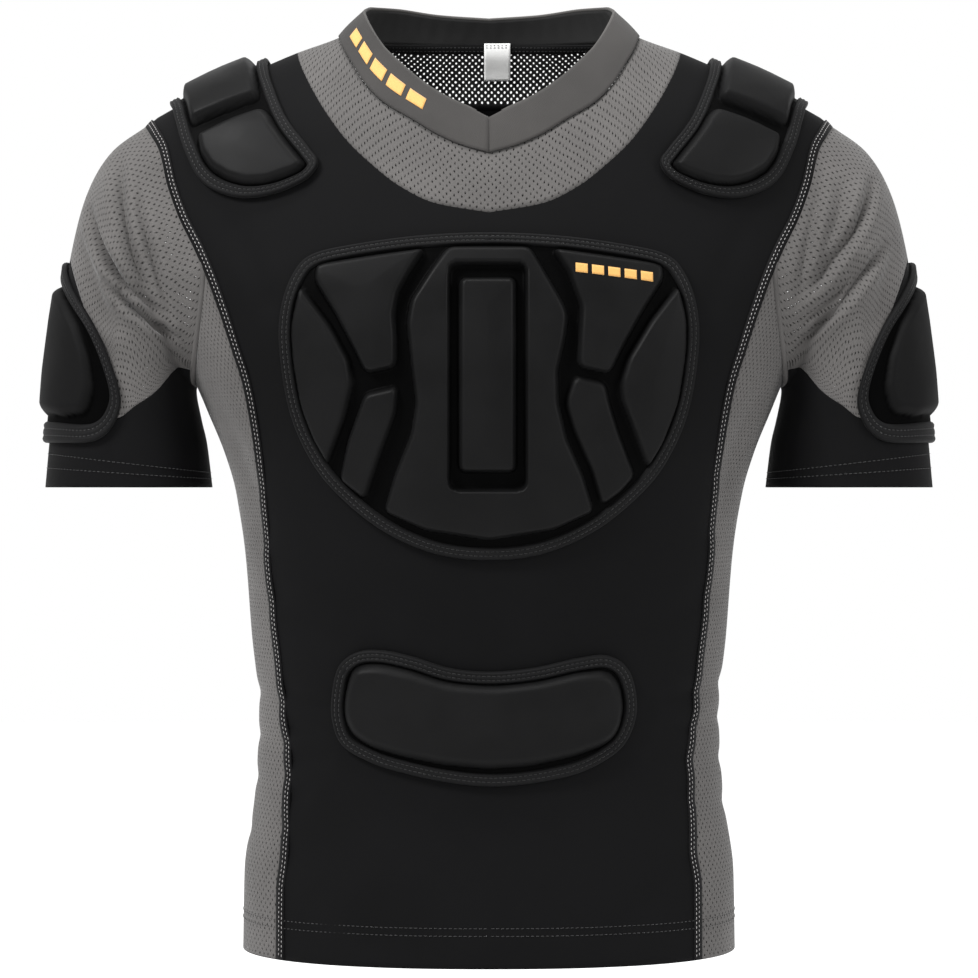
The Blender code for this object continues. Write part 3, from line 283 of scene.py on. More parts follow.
# Shoulder pad outlines: x, and the way over the shoulder from the ridge to the front
SHOULDER_RIM = [
    (0.165, 0.0), (0.165, 0.0254), (0.16, 0.0587), (0.148, 0.0985), (0.13, 0.131),
    (0.124, 0.1425), (0.1265, 0.1505), (0.136, 0.1555), (0.156, 0.1555), (0.178, 0.1475),
    (0.1978, 0.1315), (0.2115, 0.1125), (0.221, 0.0885), (0.2275, 0.066), (0.2365, 0.0253),
    (0.239, 0.0), (0.237, -0.035), (0.226, -0.068), (0.208, -0.084), (0.186, -0.086),
    (0.17, -0.068), (0.165, -0.035),
]
SHOULDER_BLOCKS = {
    "top": (0.0135, [
        (0.1765, 0.0), (0.1755, 0.025), (0.169, 0.0735), (0.216, 0.0695), (0.225, 0.03),
        (0.2275, 0.0), (0.225, -0.033), (0.215, -0.06), (0.185, -0.064), (0.177, -0.033)]),
    "front": (0.0125, [
        (0.165, 0.086), (0.211, 0.0815), (0.2085, 0.096), (0.202, 0.115), (0.19, 0.131),
        (0.1775, 0.14), (0.16, 0.1455), (0.1385, 0.148), (0.133, 0.143), (0.142, 0.126),
        (0.156, 0.1)]),
}

# Arm pad outlines: angle round from the outside in degrees, share along the sleeve
ARM_RIM = [
    (-24, 0.555), (0, 0.525), (24, 0.548), (50, 0.575), (66, 0.6), (78, 0.65), (87, 0.72),
    (91, 0.79), (88, 0.85), (80, 0.893), (66, 0.915), (35, 0.925), (0, 0.928), (-35, 0.925),
    (-66, 0.915), (-80, 0.893), (-88, 0.85), (-91, 0.79), (-87, 0.72), (-78, 0.65), (-52, 0.585),
]
ARM_BLOCK = [
    (-38, 0.612), (0, 0.596), (38, 0.612), (55, 0.64), (66, 0.705), (71, 0.79), (67, 0.852),
    (48, 0.872), (0, 0.877), (-48, 0.872), (-67, 0.852), (-71, 0.79), (-66, 0.705), (-55, 0.64),
]
ARM_BLOCK_TOP = 0.0115
WAIST_BLOCK_TOP = 0.0125
SLOT_CORNER = 0.008

# Molded edges: how far a block spreads past its outline, drop of its top, crown and its reach
BLOCK_SPREAD = 0.0012
BLOCK_DROP = 0.0009
BLOCK_CROWN = 0.0011
CROWN_REACH = 0.02
SLOT_SPREAD = 0.0008
SLOT_EDGE = 0.0028
# Height over which the painted shade of the foam grooves fades out
GROOVE_SHADE_DEPTH = 0.0045

# Label: width, top and bottom heights, place across and distance from the back panel
LABEL_WIDTH = 0.0205
LABEL_TOP_Z = 0.0085
LABEL_BOTTOM_Z = -0.0190
LABEL_X = 0.0065
LABEL_STAND = 0.0022
LABEL_SEAM_Z = 0.0045

# Print: thickness, distance from the cloth, and the degrees round the neck that it takes
PRINT_THICKNESS = 0.0003
PRINT_STAND = 0.00015
COLLAR_PRINT = (8.2, 44.0)
# Sections of the bands: pairs of sideways offset and lift
BINDING_SECTION = [(-0.0040, 0.0002), (-0.0034, 0.0008), (0.0034, 0.0008), (0.0040, 0.0002)]
TAPE_SECTION = [(-0.0022, 0.0002), (-0.0018, 0.0007), (0.0018, 0.0007), (0.0022, 0.0002)]
ARMHOLE_SECTION = [(-0.0024, -0.0008), (-0.0016, 0.0010), (0.0016, 0.0010), (0.0024, -0.0008)]
SEAM_SECTION = [(-0.0018, -0.0006), (-0.0015, 0.0012), (0.0020, 0.0014), (0.0059, 0.0012), (0.0062, -0.0006)]

# Edge tape of the pads and its stitches: share across the tape, share of its height
TAPE_FORM = [
    (0.0, 0.0), (0.0, 0.42), (0.06, 0.78), (0.16, 0.97), (0.26, 0.92), (0.34, 0.80), (0.42, 0.96),
    (0.58, 0.96), (0.66, 0.80), (0.74, 0.92), (0.84, 0.97), (0.94, 0.74), (1.0, 0.38), (1.0, 0.0),
]
TAPE_STITCHES = [(0.34, 0.84), (0.66, 0.84)]

# Stitches: pitch, share of it that shows, radius of the thread
PAD_STITCH = (0.0036, 0.68, 0.00032)
CONTRAST_STITCH = (0.0034, 0.62, 0.00030)
INSIDE_STITCH = (0.0030, 0.62, 0.00030)
HEM_STITCH = (0.0036, 0.66, 0.00026)


# Form of the shirt

FLIP = np.array([-1, 1, 1])
LEVEL = np.array([1, 1, 0])


def smooth(points, column=1):
    """Smooth curve through a table that never overshoots it; the first column is the input."""
    rows = sorted(points)
    xs = np.array([row[0] for row in rows], float)
    ys = np.array([row[column] for row in rows], float)
    gap = np.diff(xs)
    rise = np.diff(ys) / gap
    slope = np.empty_like(ys)
    slope[0] = rise[0]
    slope[-1] = rise[-1]
    for i in range(1, len(xs) - 1):
        if rise[i - 1] * rise[i] <= 0:
            slope[i] = 0.0
        else:
            before = 2 * gap[i] + gap[i - 1]
            after = gap[i] + 2 * gap[i - 1]
            slope[i] = (before + after) / (before / rise[i - 1] + after / rise[i])

    def at(x):
        x = np.clip(x, xs[0], xs[-1])
        i = np.clip(np.searchsorted(xs, x) - 1, 0, len(xs) - 2)
        t = (x - xs[i]) / gap[i]
        low = (1 + 2 * t) * (1 - t) ** 2 * ys[i] + t * (1 - t) ** 2 * gap[i] * slope[i]
        high = t * t * (3 - 2 * t) * ys[i + 1] + t * t * (t - 1) * gap[i] * slope[i + 1]
        return low + high

    return at


def spline(p0, p1, p2, p3, t):
    """Points between p1 and p2 on the smooth curve through four points."""
    return 0.5 * (2 * p1 + (p2 - p0) * t + (2 * p0 - 5 * p1 + 4 * p2 - p3) * t ** 2
                  + (3 * p1 - p0 - 3 * p2 + p3) * t ** 3)


def path_lengths(points):
    """Running length along a path."""
    return np.concatenate([[0.0], np.cumsum(np.linalg.norm(np.diff(points, axis=0), axis=1))])


def pick(places, known, values):
    """Rows of values at places, where their own places are known."""
    return np.stack([np.interp(places, known, column) for column in values.T], -1)


half_width, front_depth, back_depth, squareness = (smooth(BODY, k) for k in range(1, 5))
seam_x = smooth(SIDE_SEAM)
net_end = smooth(NET_END)
stand_off = smooth(STAND_OFF)


def body(x, z, side):
    """Points of the body form over (x, z) on its front (side -1) or back (side 1)."""
    x, z = np.broadcast_arrays(np.asarray(x, float), np.asarray(z, float))
    power = squareness(z)
    share = np.minimum(np.abs(x) / half_width(z), 1.0)
    depth = front_depth(z) if side < 0 else back_depth(z)
    return np.stack([x, side * depth * (1 - share ** power) ** (1 / power), z], -1)


def around(angle, z):
    """Points of the body form at an angle from the front middle, to the right and back."""
    angle, z = np.broadcast_arrays(np.asarray(angle, float), np.asarray(z, float))
    power = squareness(z)
    turn = np.cos(angle)
    depth = np.where(turn > 0, front_depth(z), back_depth(z))
    x = half_width(z) * np.abs(np.sin(angle)) ** (2 / power)
    return np.stack([x, -np.sign(turn) * depth * np.abs(turn) ** (2 / power), z], -1)


def angle_of(x, z):
    share = np.minimum(np.abs(x) / half_width(z), 1.0)
    return np.arcsin(np.minimum(share ** (squareness(z) / 2), 1.0))


RIDGE_HEIGHTS = np.linspace(BODY[0][0], TIP_Z, 400)
RIDGE_REACH = half_width(RIDGE_HEIGHTS)


def ridge_z(x):
    """Height of the shoulder line over a distance from the middle."""
    return np.interp(x, RIDGE_REACH, RIDGE_HEIGHTS)


def side_point(share, z):
    """Points of the side from the front seam (0) round to the back seam (1)."""
    edge = angle_of(seam_x(z), z)
    return around(edge + (math.pi - 2 * edge) * share, z)


def pit_height(share):
    return PIT_Z + (JOIN_Z - PIT_Z) * np.abs(2 * share - 1) ** PIT_ROUND


def armhole_height(share):
    return TIP_Z + (JOIN_Z - TIP_Z) * share ** 2


def armhole_by_angle():
    """The armhole edge as points against an angle from the shoulder tip."""
    z = armhole_height(np.arange(EDGE_STEPS) / EDGE_STEPS)
    x = np.minimum(seam_x(z), half_width(z))
    pit = np.linspace(0, 1, 2 * PIT_STEPS + 1)
    back = slice(None, 0, -1)
    points = np.vstack([body(x, z, -1), side_point(pit, pit_height(pit)), body(x[back], z[back], 1)])
    points = np.vstack([points, points[:1]])
    length = path_lengths(points)
    half = EDGE_STEPS + PIT_STEPS
    front = length[:half + 1] / length[half] * math.pi
    rest = math.pi + (length[half:] - length[half]) / (length[-1] - length[half]) * math.pi
    return np.concatenate([front, rest[1:]]), points


RING_ANGLES, RING_POINTS = armhole_by_angle()


def ring(angle):
    """Armhole points, standing off the panels by more the further they are below the shoulder."""
    turn = np.mod(angle, 2 * math.pi)
    point = pick(turn, RING_ANGLES, RING_POINTS)
    point[..., 0] += stand_off(np.degrees(np.minimum(turn, 2 * math.pi - turn)))
    return point


def sleeve(angle, share):
    """Points of the right sleeve by angle from the outside to the front and share to the cuff."""
    angle, share = np.broadcast_arrays(np.asarray(angle, float), np.asarray(share, float))
    rings = [ring(angle)]
    for outer_x, outer_z, inner_x, inner_z, half_depth in SLEEVE:
        middle = np.array([(outer_x + inner_x) / 2, 0, (outer_z + inner_z) / 2])
        reach = np.array([(outer_x - inner_x) / 2, 0, (outer_z - inner_z) / 2])
        deep = np.array([0, -half_depth, 0])
        rings.append(middle + np.cos(angle)[..., None] * reach + np.sin(angle)[..., None] * deep)
    rings = np.stack(rings)
    last = len(rings) - 1
    place = np.clip(share, 0, 1) * last
    i = np.minimum(place.astype(int), last - 1)

    def at(index):
        picked = np.clip(index, 0, last)[None, ..., None]
        return np.take_along_axis(rings, np.broadcast_to(picked, (1,) + angle.shape + (3,)), 0)[0]

    p1, p2 = at(i), at(i + 1)
    p0 = np.where((i == 0)[..., None], 2 * p1 - p2, at(i - 1))
    p3 = np.where((i == last - 1)[..., None], 2 * p2 - p1, at(i + 2))
    return spline(p0, p1, p2, p3, (place - i)[..., None])


def unit(vectors):
    return vectors / np.maximum(np.linalg.norm(vectors, axis=-1, keepdims=True), 1e-12)


def outward(points):
    """Unit directions away from the body form at its points."""

    def level(p):
        power = squareness(p[..., 2])
        depth = np.where(p[..., 1] < 0, front_depth(p[..., 2]), back_depth(p[..., 2]))
        return (np.abs(p[..., 0]) / half_width(p[..., 2])) ** power + (np.abs(p[..., 1]) / depth) ** power

    step = 0.0005
    return unit(np.stack([level(points + a * step) - level(points - a * step) for a in np.eye(3)], -1))


def beside(x, z, start, run):
    """Share along a straight run, and distance from it, of points (x, z)."""
    share = np.clip(((x - start[0]) * run[0] + (z - start[1]) * run[1]) / (run @ run), 0, 1)
    return share, np.hypot(x - start[0] - share * run[0], z - start[1] - share * run[1])


def crease_sum(x, z, creases):
    """Depth at points of a set of bent creases that run out at both ends, with raised flanks."""
    total = np.zeros(np.shape(x))
    t = np.linspace(0, 1, CREASE_STEPS + 1)[:, None]
    for start, bend, end, deep, wide in creases:
        path = (1 - t) ** 2 * np.array(start) + 2 * t * (1 - t) * np.array(bend) + t ** 2 * np.array(end)
        nearest = np.full(np.shape(x), np.inf)
        place = np.zeros(np.shape(x))
        for k in range(CREASE_STEPS):
            share, off = beside(x, z, path[k], path[k + 1] - path[k])
            place = np.where(off < nearest, (k + share) / CREASE_STEPS, place)
            nearest = np.minimum(off, nearest)
        across = nearest / wide
        form = np.exp(-across ** 2) - FLANK * np.exp(-(across - 2.0) ** 2)
        total = total + deep * np.sin(math.pi * place) ** CREASE_TAPER * form
    return total


def sleeve_cloth(arm, angle, share, lift=0.0):
    """Points of one sleeve with its folds; arm is 1 on the right and -1 on the left."""
    angle, share = np.broadcast_arrays(np.asarray(angle, float), np.asarray(share, float))
    point = sleeve(angle, share)
    inner = np.clip(share, 0.01, 0.98)
    along = sleeve(angle + 0.02, inner) - sleeve(angle - 0.02, inner)
    down = sleeve(angle, inner + 0.01) - sleeve(angle, inner - 0.01)
    normal = unit(np.cross(along, down))
    front, back = (crease_sum(point[..., 0], point[..., 2], FOLDS[(arm, side)]) for side in (-1, 1))
    depth = np.where(point[..., 1] < 0, front, back)
    fade = np.clip((share - 0.02) / 0.07, 0, 1) * np.clip((np.abs(point[..., 1]) - 0.015) / 0.03, 0, 1)
    fade = fade * np.clip((point[..., 2] - FOLD_FLOOR) / 0.03, 0, 1)
    point = point + normal * (lift - depth * fade)[..., None]
    return point * np.array([arm, 1, 1]), normal * np.array([arm, 1, 1])


def torso_cloth(points, lift=0.0):
    """Sink torso points into the soft folds and lift them off the form, with their directions."""
    normal = outward(points)
    total = np.zeros(points.shape[:-1])
    for x0, z0, x1, z1, side, deep, wide in TORSO_FOLDS:
        _, off = beside(points[..., 0], points[..., 2], (x0, z0), np.array([x1 - x0, z1 - z0]))
        shown = np.clip(side * points[..., 1] / 0.03, 0, 1) if side else 1.0
        total = total + deep * np.exp(-(off / wide) ** 2) * shown
    edge = np.clip((-0.02 - points[..., 2]) / 0.06, 0, 1)
    return points + normal * (lift - total * edge)[..., None], normal


# Meshes

def piece(name, vertices, faces, material, uvs=None):
    """One named smooth-shaded object; uvs are one pair for each corner of each face."""
    mesh = bpy.data.meshes.new(name)
    mesh.from_pydata(np.reshape(vertices, (-1, 3)).tolist(), [], np.asarray(faces, int).tolist())
    mesh.materials.append(material)
    if uvs is not None:
        mesh.uv_layers.new(name="cloth").data.foreach_set("uv", np.ravel(uvs))
    mesh.update()
    mesh.shade_smooth()
    thing = bpy.data.objects.new(name, mesh)
    bpy.context.scene.collection.objects.link(thing)
    return thing


def grid_faces(count, width, closed=False):
    """Corners of the four-sided faces between count rows of width points."""
    rows = np.arange(count - 1)[:, None]
    columns = np.arange(width if closed else width - 1)[None, :]
    following = (columns + 1) % width
    corners = np.stack([rows * width + columns, rows * width + following,
                        (rows + 1) * width + following, (rows + 1) * width + columns], -1)
    return corners.reshape(-1, 4)


def lengths(points, axis):
    """Running length along one axis of a grid of points."""
    total = np.cumsum(np.linalg.norm(np.diff(points, axis=axis), axis=-1), axis=axis)
    return np.concatenate([np.zeros_like(np.take(total, [0], axis)), total], axis)


def wall(thing, thickness):
    """Give an open sheet its thickness, outward."""
    shell = thing.modifiers.new("wall", "SOLIDIFY")
    shell.thickness = thickness
    shell.offset = 1.0
    return thing


def cloth_wall(name, rows, material, thickness=CLOTH, closed=False, flip=False, smooth_rows=None):
    """Thin cloth wall through rows of points; its weave is laid out in metres on the smooth rows."""
    even = rows if smooth_rows is None else smooth_rows
    wide = np.concatenate([even, even[:, :1]], axis=1) if closed else even
    across = lengths(wide, 1)
    if not closed:
        across = across - across[:, across.shape[1] // 2][:, None]
    uv = np.stack([across, lengths(wide, 0)], -1) + 1.0
    faces = grid_faces(*rows.shape[:2], closed)
    pairs = uv.reshape(-1, 2)[grid_faces(*uv.shape[:2])]
    if flip:
        faces = faces[:, ::-1]
        pairs = pairs[:, ::-1]
    return wall(piece(name, rows, faces, material, pairs), thickness)


def finish_shell(thing, ends=()):
    """Close the given ends of a form and turn its faces outward."""
    work = bmesh.new()
    work.from_mesh(thing.data)
    work.verts.ensure_lookup_table()
    for end in ends:
        work.faces.new([work.verts[i] for i in end])
    bmesh.ops.recalc_face_normals(work, faces=work.faces[:])
    work.to_mesh(thing.data)
    work.free()
    return thing


def ring_band(name, rows, material, closed):
    """Closed-section band through loops of points, the last loop joined to the first."""
    rows = np.stack(rows)
    count, size = rows.shape[:2]
    loops = np.concatenate([rows, rows[:1]])
    uv = np.stack([lengths(loops, 1), lengths(loops, 0)], -1) + 1.0
    if closed:
        uv = np.concatenate([uv, uv[:, -1:]], axis=1)
    faces = grid_faces(count + 1, size, closed) % (count * size)
    pairs = uv.reshape(-1, 2)[grid_faces(*uv.shape[:2])]
    ends = [] if closed else [range(k, count * size, size) for k in (0, size - 1)]
    return finish_shell(piece(name, rows, faces, material, pairs), ends)


def sideways(points, normals):
    """Unit directions across a path on a surface."""
    return unit(np.cross(normals, np.gradient(points, axis=0)))


def ribbon(name, points, normals, material, section):
    """Band along a path; its section is pairs of sideways offset and lift, in metres."""
    across = sideways(points, normals)
    return ring_band(name, [points + across * o + normals * h for o, h in section], material, False)


def stitches(name, paths, material, pitch, share, radius):
    """Sewn thread: a small spindle for each stitch along paths of (points, normals)."""
    vertices = []
    faces = []
    for points, normals in paths:
        place = path_lengths(points)
        for start in np.arange(0.4 * pitch, place[-1] - pitch * share, pitch):
            centre = pick(start + pitch * share * np.array([0.0, 0.22, 0.78, 1.0]), place, points)
            up = pick(start, place, normals)
            across = unit(np.cross(up, centre[-1] - centre[0]))
            base = len(vertices)
            vertices.append(centre[0] - up * radius * 0.6)
            for k in (1, 2):
                for a, b in ((1, 0), (0, 1), (-1, 0), (0, -1)):
                    vertices.append(centre[k] + (across * a + up * b) * radius)
            vertices.append(centre[3] - up * radius * 0.6)
            for q in range(4):
                r = (q + 1) % 4
                faces.append((base, base + 1 + r, base + 1 + q))
                faces.append((base + 1 + q, base + 1 + r, base + 5 + r))
                faces.append((base + 1 + q, base + 5 + r, base + 5 + q))
                faces.append((base + 5 + q, base + 5 + r, base + 9))
    return piece(name, vertices, faces, material)


# Pads

def closed_curve(points, count):
    """Evenly spaced points on a smooth closed curve through the given ones."""
    points = np.array(points)
    dense = []
    for i in range(len(points)):
        four = [points[(i + k) % len(points)] for k in (-1, 0, 1, 2)]
        dense += [spline(*four, t) for t in np.linspace(0, 1, 16, endpoint=False)]
    dense = np.array(dense + dense[:1])
    place = path_lengths(dense)
    return pick(np.linspace(0, place[-1], count, endpoint=False), place, dense)


def rounded(points, radius):
    """Cut each corner of an outline back to a round of eight points, the blunt ones less."""
    points = np.array(points)
    result = []
    for i, corner in enumerate(points):
        before = points[i - 1] - corner
        after = points[(i + 1) % len(points)] - corner
        reach_before = np.linalg.norm(before)
        reach_after = np.linalg.norm(after)
        turn = np.dot(before, after) / (reach_before * reach_after)
        sharp = math.degrees(math.acos(min(max(-turn, -1.0), 1.0))) > BLUNT_CORNER
        reach = radius if sharp else radius * 0.7
        start = corner + before / reach_before * min(reach, reach_before * 0.45)
        end = corner + after / reach_after * min(reach, reach_after * 0.45)
        for t in np.linspace(0, 1, 8):
            result.append((1 - t) ** 2 * start + 2 * t * (1 - t) * corner + t ** 2 * end)
    return np.array(result)


def inward_normals(points):
    """Sideways directions into a closed outline, whichever way it runs."""
    following = np.roll(points, -1, axis=0)
    along = following - np.roll(points, 1, axis=0)
    normals = unit(np.column_stack([-along[:, 1], along[:, 0]]))
    area = np.sum(points[:, 0] * following[:, 1] - following[:, 0] * points[:, 1])
    return normals if area > 0 else -normals


def depth_inside(points, outline):
    """Distance of points inside a closed outline from its edge, negative outside it."""
    starts = np.asarray(outline)
    nearest = np.full(points.shape[:-1], np.inf)
    crossed = np.zeros(points.shape[:-1], int)
    for start, run in zip(starts, np.roll(starts, -1, axis=0) - starts):
        px, py = np.moveaxis(points - start, -1, 0)
        t = np.clip((px * run[0] + py * run[1]) / max(run @ run, 1e-18), 0, 1)
        nearest = np.minimum(nearest, np.hypot(px - t * run[0], py - t * run[1]))
        if abs(run[1]) > 1e-12:
            crossed += ((py >= 0) != (py >= run[1])) & (px < py / run[1] * run[0])
    return np.where(crossed % 2 == 1, nearest, -nearest)


class Chart:
    """A pad's seat as a table of points and directions over its flat pattern."""

    def __init__(self, form, u_span, v_span, facing, lift):
        self.start = np.array([u_span[0], v_span[0]])
        self.lift = lift
        u, v = (np.arange(span[0], span[1] + CHART_STEP, CHART_STEP) for span in (u_span, v_span))
        self.table = form(*np.meshgrid(u, v, indexing="ij"))
        self.normals = unit(np.cross(*np.gradient(self.table, axis=(0, 1)))) * facing

    def at(self, flat, height):
        """Points over flat ones at a height above the cloth, and their directions."""
        place = (np.asarray(flat, float) - self.start) / CHART_STEP
        place = np.clip(place, 0, np.array(self.table.shape[:2]) - 1.001)
        a, b = np.moveaxis(place.astype(int), -1, 0)
        s, t = np.moveaxis(place - place.astype(int), -1, 0)[..., None]

        def mixed(values):
            low = values[a, b] * (1 - s) + values[a + 1, b] * s
            high = values[a, b + 1] * (1 - s) + values[a + 1, b + 1] * s
            return low * (1 - t) + high * t

        normal = unit(mixed(self.normals))
        return mixed(self.table) + normal * (np.asarray(height) + self.lift)[..., None], normal


def shoulder_form(x, way):
    """Points over the shoulder at distances from the ridge, positive towards the front."""
    result = np.empty(x.shape + (3,))
    for i, across in enumerate(x[:, 0]):
        top = ridge_z(across)
        drop = top + (-0.24 - top) * (np.arange(91) / 90) ** 2
        for side in (-1, 1):
            profile = body(np.full(91, across), drop, side)
            profile[0, 1] = 0.0
            here = (way[i] >= 0) if side < 0 else (way[i] < 0)
            result[i, here] = pick(np.abs(way[i, here]), path_lengths(profile), profile)
    return result


def swell(depth, width):
    """Share of full height at a distance inside a molded edge: a soft quarter round."""
    t = np.clip(depth / width, 0, 1)
    return np.sqrt(np.maximum(1 - (1 - t) ** 2, 0.0)) * 0.75 + t * t * (3 - 2 * t) * 0.25


def block_height(flat, inside, blocks, slot, edge, tape):
    """Height of a molded plate and its blocks over flat points; inside is the depth from the rim."""
    height = np.full(inside.shape, BASE_TOP)
    for label, (top, outline) in blocks.items():
        depth = depth_inside(flat, outline)
        share = swell(depth + BLOCK_SPREAD, edge)
        if slot is not None and label == "chest_block_middle":
            share = share * (1 - swell(depth_inside(flat, slot) + SLOT_SPREAD, SLOT_EDGE))
        crown = BLOCK_CROWN * np.clip(depth / CROWN_REACH, 0, 1) ** 0.7
        height = np.maximum(height, BASE_TOP + (top - BLOCK_DROP - BASE_TOP + crown) * share)
    hold = np.clip((inside - tape + 0.001) / 0.003, 0, 1)
    return BASE_TOP + (height - BASE_TOP) * hold


def relief(name, chart, mirror, rim, blocks, material, step, slot, edge, tape):
    """Molded plate with raised blocks as one closed form, its edge tucked under the tape."""
    u, v = (np.arange(low, high + step, step) for low, high in zip(rim.min(0), rim.max(0)))
    flat = np.stack(np.meshgrid(u, v, indexing="ij"), -1)
    inside = depth_inside(flat, rim[::4])
    height = block_height(flat, inside, blocks, slot, edge, tape)
    within = inside > tape - TUCK
    cell = within[:-1, :-1] & within[1:, :-1] & within[:-1, 1:] & within[1:, 1:]
    padded = np.pad(cell, 1)
    used = padded[:-1, :-1] | padded[1:, :-1] | padded[:-1, 1:] | padded[1:, 1:]
    count = used.sum()
    node = np.zeros(inside.shape, int) - 1
    node[used] = np.arange(count)
    top_points, _ = chart.at(flat[used], height[used])
    low_points, _ = chart.at(flat[used], np.full(count, PAD_SEAT))
    i, j = np.nonzero(cell)
    quad = np.stack([node[i, j], node[i + 1, j], node[i + 1, j + 1], node[i, j + 1]], -1)
    sides = []
    for di, dj, a, b in ((-1, 0, 3, 0), (1, 0, 1, 2), (0, -1, 0, 1), (0, 1, 2, 3)):
        bare = ~padded[i + 1 + di, j + 1 + dj]
        a, b = quad[bare, a], quad[bare, b]
        sides.append(np.stack([b, a, a + count, b + count], -1))
    faces = np.vstack([quad, quad[:, ::-1] + count, *sides])
    points = np.vstack([top_points, low_points]) * np.array([mirror, 1, 1])
    flat_uv = np.vstack([flat[used], flat[used]]) + 1.0
    thing = finish_shell(piece(name, points, faces, material, flat_uv[faces]))
    # Share of block height, read by the foam material to paint shade into the low grooves
    raised = np.clip((height[used] - BASE_TOP) / GROOVE_SHADE_DEPTH, 0, 1)
    layer = thing.data.attributes.new("raised", "FLOAT", "POINT")
    layer.data.foreach_set("value", np.concatenate([raised, raised * 0.0]).astype(np.float32))
    return thing


def tape_lines(chart, mirror, rim, width, places):
    """Lines round a pad's edge tape, at pairs of share across it and share of its height."""
    hand = np.array([mirror, 1, 1])
    for share, top in places:
        height = np.full(len(rim), PAD_SEAT + (TAPE_TOP - PAD_SEAT) * top)
        points, normals = chart.at(rim + inward_normals(rim) * width * share, height)
        yield points * hand, normals * hand


def kept_inside(points, rim, margin):
    """Outline with the points that come too near a rim moved inward."""
    points = np.array(points)
    inward = inward_normals(rim)
    for _ in range(3):
        for i, point in enumerate(points):
            near = np.argmin(np.linalg.norm(rim - point, axis=1))
            depth = np.dot(point - rim[near], inward[near])
            if depth < margin:
                points[i] = point + inward[near] * (margin - depth)
    return points


# Materials

class Graph:
    """Short way to write a material's nodes."""

    def __init__(self, name):
        self.material = bpy.data.materials.new(name)
        self.material.use_nodes = True
        self.nodes = self.material.node_tree.nodes
        self.links = self.material.node_tree.links
        self.shader = self.nodes["Principled BSDF"]

    def put(self, socket, value):
        if isinstance(value, bpy.types.NodeSocket):
            self.links.new(value, socket)
        else:
            socket.default_value = value

    def math(self, operation, *values):
        node = self.nodes.new("ShaderNodeMath")
        node.operation = operation
        for socket, value in zip(node.inputs, values):
            self.put(socket, value)
        return node.outputs[0]

    def plus(self, a, b):
        return self.math("ADD", a, b)

    def times(self, a, b):
        return self.math("MULTIPLY", a, b)

    def wave(self, value, pitch, push=0.0):
        """Sine of a coordinate with a pitch in metres."""
        return self.math("SINE", self.math("MULTIPLY_ADD", value, 2 * math.pi / pitch, push))

    def ramp(self, value, low, high, to_low, to_high):
        node = self.nodes.new("ShaderNodeMapRange")
        node.interpolation_type = "SMOOTHSTEP"
        for socket, number in zip(node.inputs, (value, low, high, to_low, to_high)):
            self.put(socket, number)
        return node.outputs[0]

    def spread(self, noise, low, high):
        """A noise stretched between two values."""
        return self.ramp(noise, 0.3, 0.7, low, high)

    def noise(self, scale, detail=2.0, vector=None):
        node = self.nodes.new("ShaderNodeTexNoise")
        node.inputs["Scale"].default_value = scale
        node.inputs["Detail"].default_value = detail
        if vector is None:
            vector = self.nodes.new("ShaderNodeTexCoord").outputs["Object"]
        self.links.new(vector, node.inputs["Vector"])
        return node.outputs["Fac"]

    def cloth_uv(self):
        node = self.nodes.new("ShaderNodeUVMap")
        node.uv_map = "cloth"
        parts = self.nodes.new("ShaderNodeSeparateXYZ")
        self.links.new(node.outputs[0], parts.inputs[0])
        return node.outputs[0], parts.outputs[0], parts.outputs[1]

    def tint(self, colour, factor):
        """A colour made lighter or darker by a factor."""
        node = self.nodes.new("ShaderNodeMix")
        node.data_type = "RGBA"
        node.blend_type = "MULTIPLY"
        node.inputs["Factor"].default_value = 1.0
        node.inputs["A"].default_value = (*colour, 1.0)
        shade = self.nodes.new("ShaderNodeCombineColor")
        for socket in shade.inputs:
            self.put(socket, factor)
        self.links.new(shade.outputs[0], node.inputs["B"])
        return node.outputs["Result"]

    def bump(self, height, strength, distance):
        node = self.nodes.new("ShaderNodeBump")
        node.inputs["Strength"].default_value = strength
        node.inputs["Distance"].default_value = distance
        self.links.new(height, node.inputs["Height"])
        self.links.new(node.outputs[0], self.shader.inputs["Normal"])

    def finish(self, colour, roughness, sheen=0.0, specular=0.22, alpha=1.0):
        values = {"Base Color": colour, "Roughness": roughness, "Sheen Weight": sheen,
                  "Sheen Roughness": 0.45, "Specular IOR Level": specular, "Alpha": alpha}
        for socket, value in values.items():
            self.put(self.shader.inputs[socket], value)
        return self.material


def knit(name, colour, roughness, pitch, sheen, depth=0.00008, specular=0.22, variation=0.16):
    """Fine knit cloth: loops in rows and columns, with soft variation over the piece."""
    g = Graph(name)
    vector, u, v = g.cloth_uv()
    drift = g.noise(900.0, 1.0, vector)
    loops = g.times(g.wave(u, pitch, g.times(drift, 2.0)), g.wave(v, pitch * 0.8))
    fuzz = g.noise(2600.0, 2.0, vector)
    g.bump(g.plus(g.times(loops, 0.5), fuzz), 0.6, depth)
    broad = g.noise(14.0, 3.0)
    shade = g.plus(g.spread(broad, 1 - variation, 1 + variation),
                   g.times(g.math("SUBTRACT", fuzz, 0.5), 0.45))
    rough = g.spread(broad, roughness - 0.06, roughness + 0.06)
    return g.finish(g.tint(colour, shade), rough, sheen, specular)


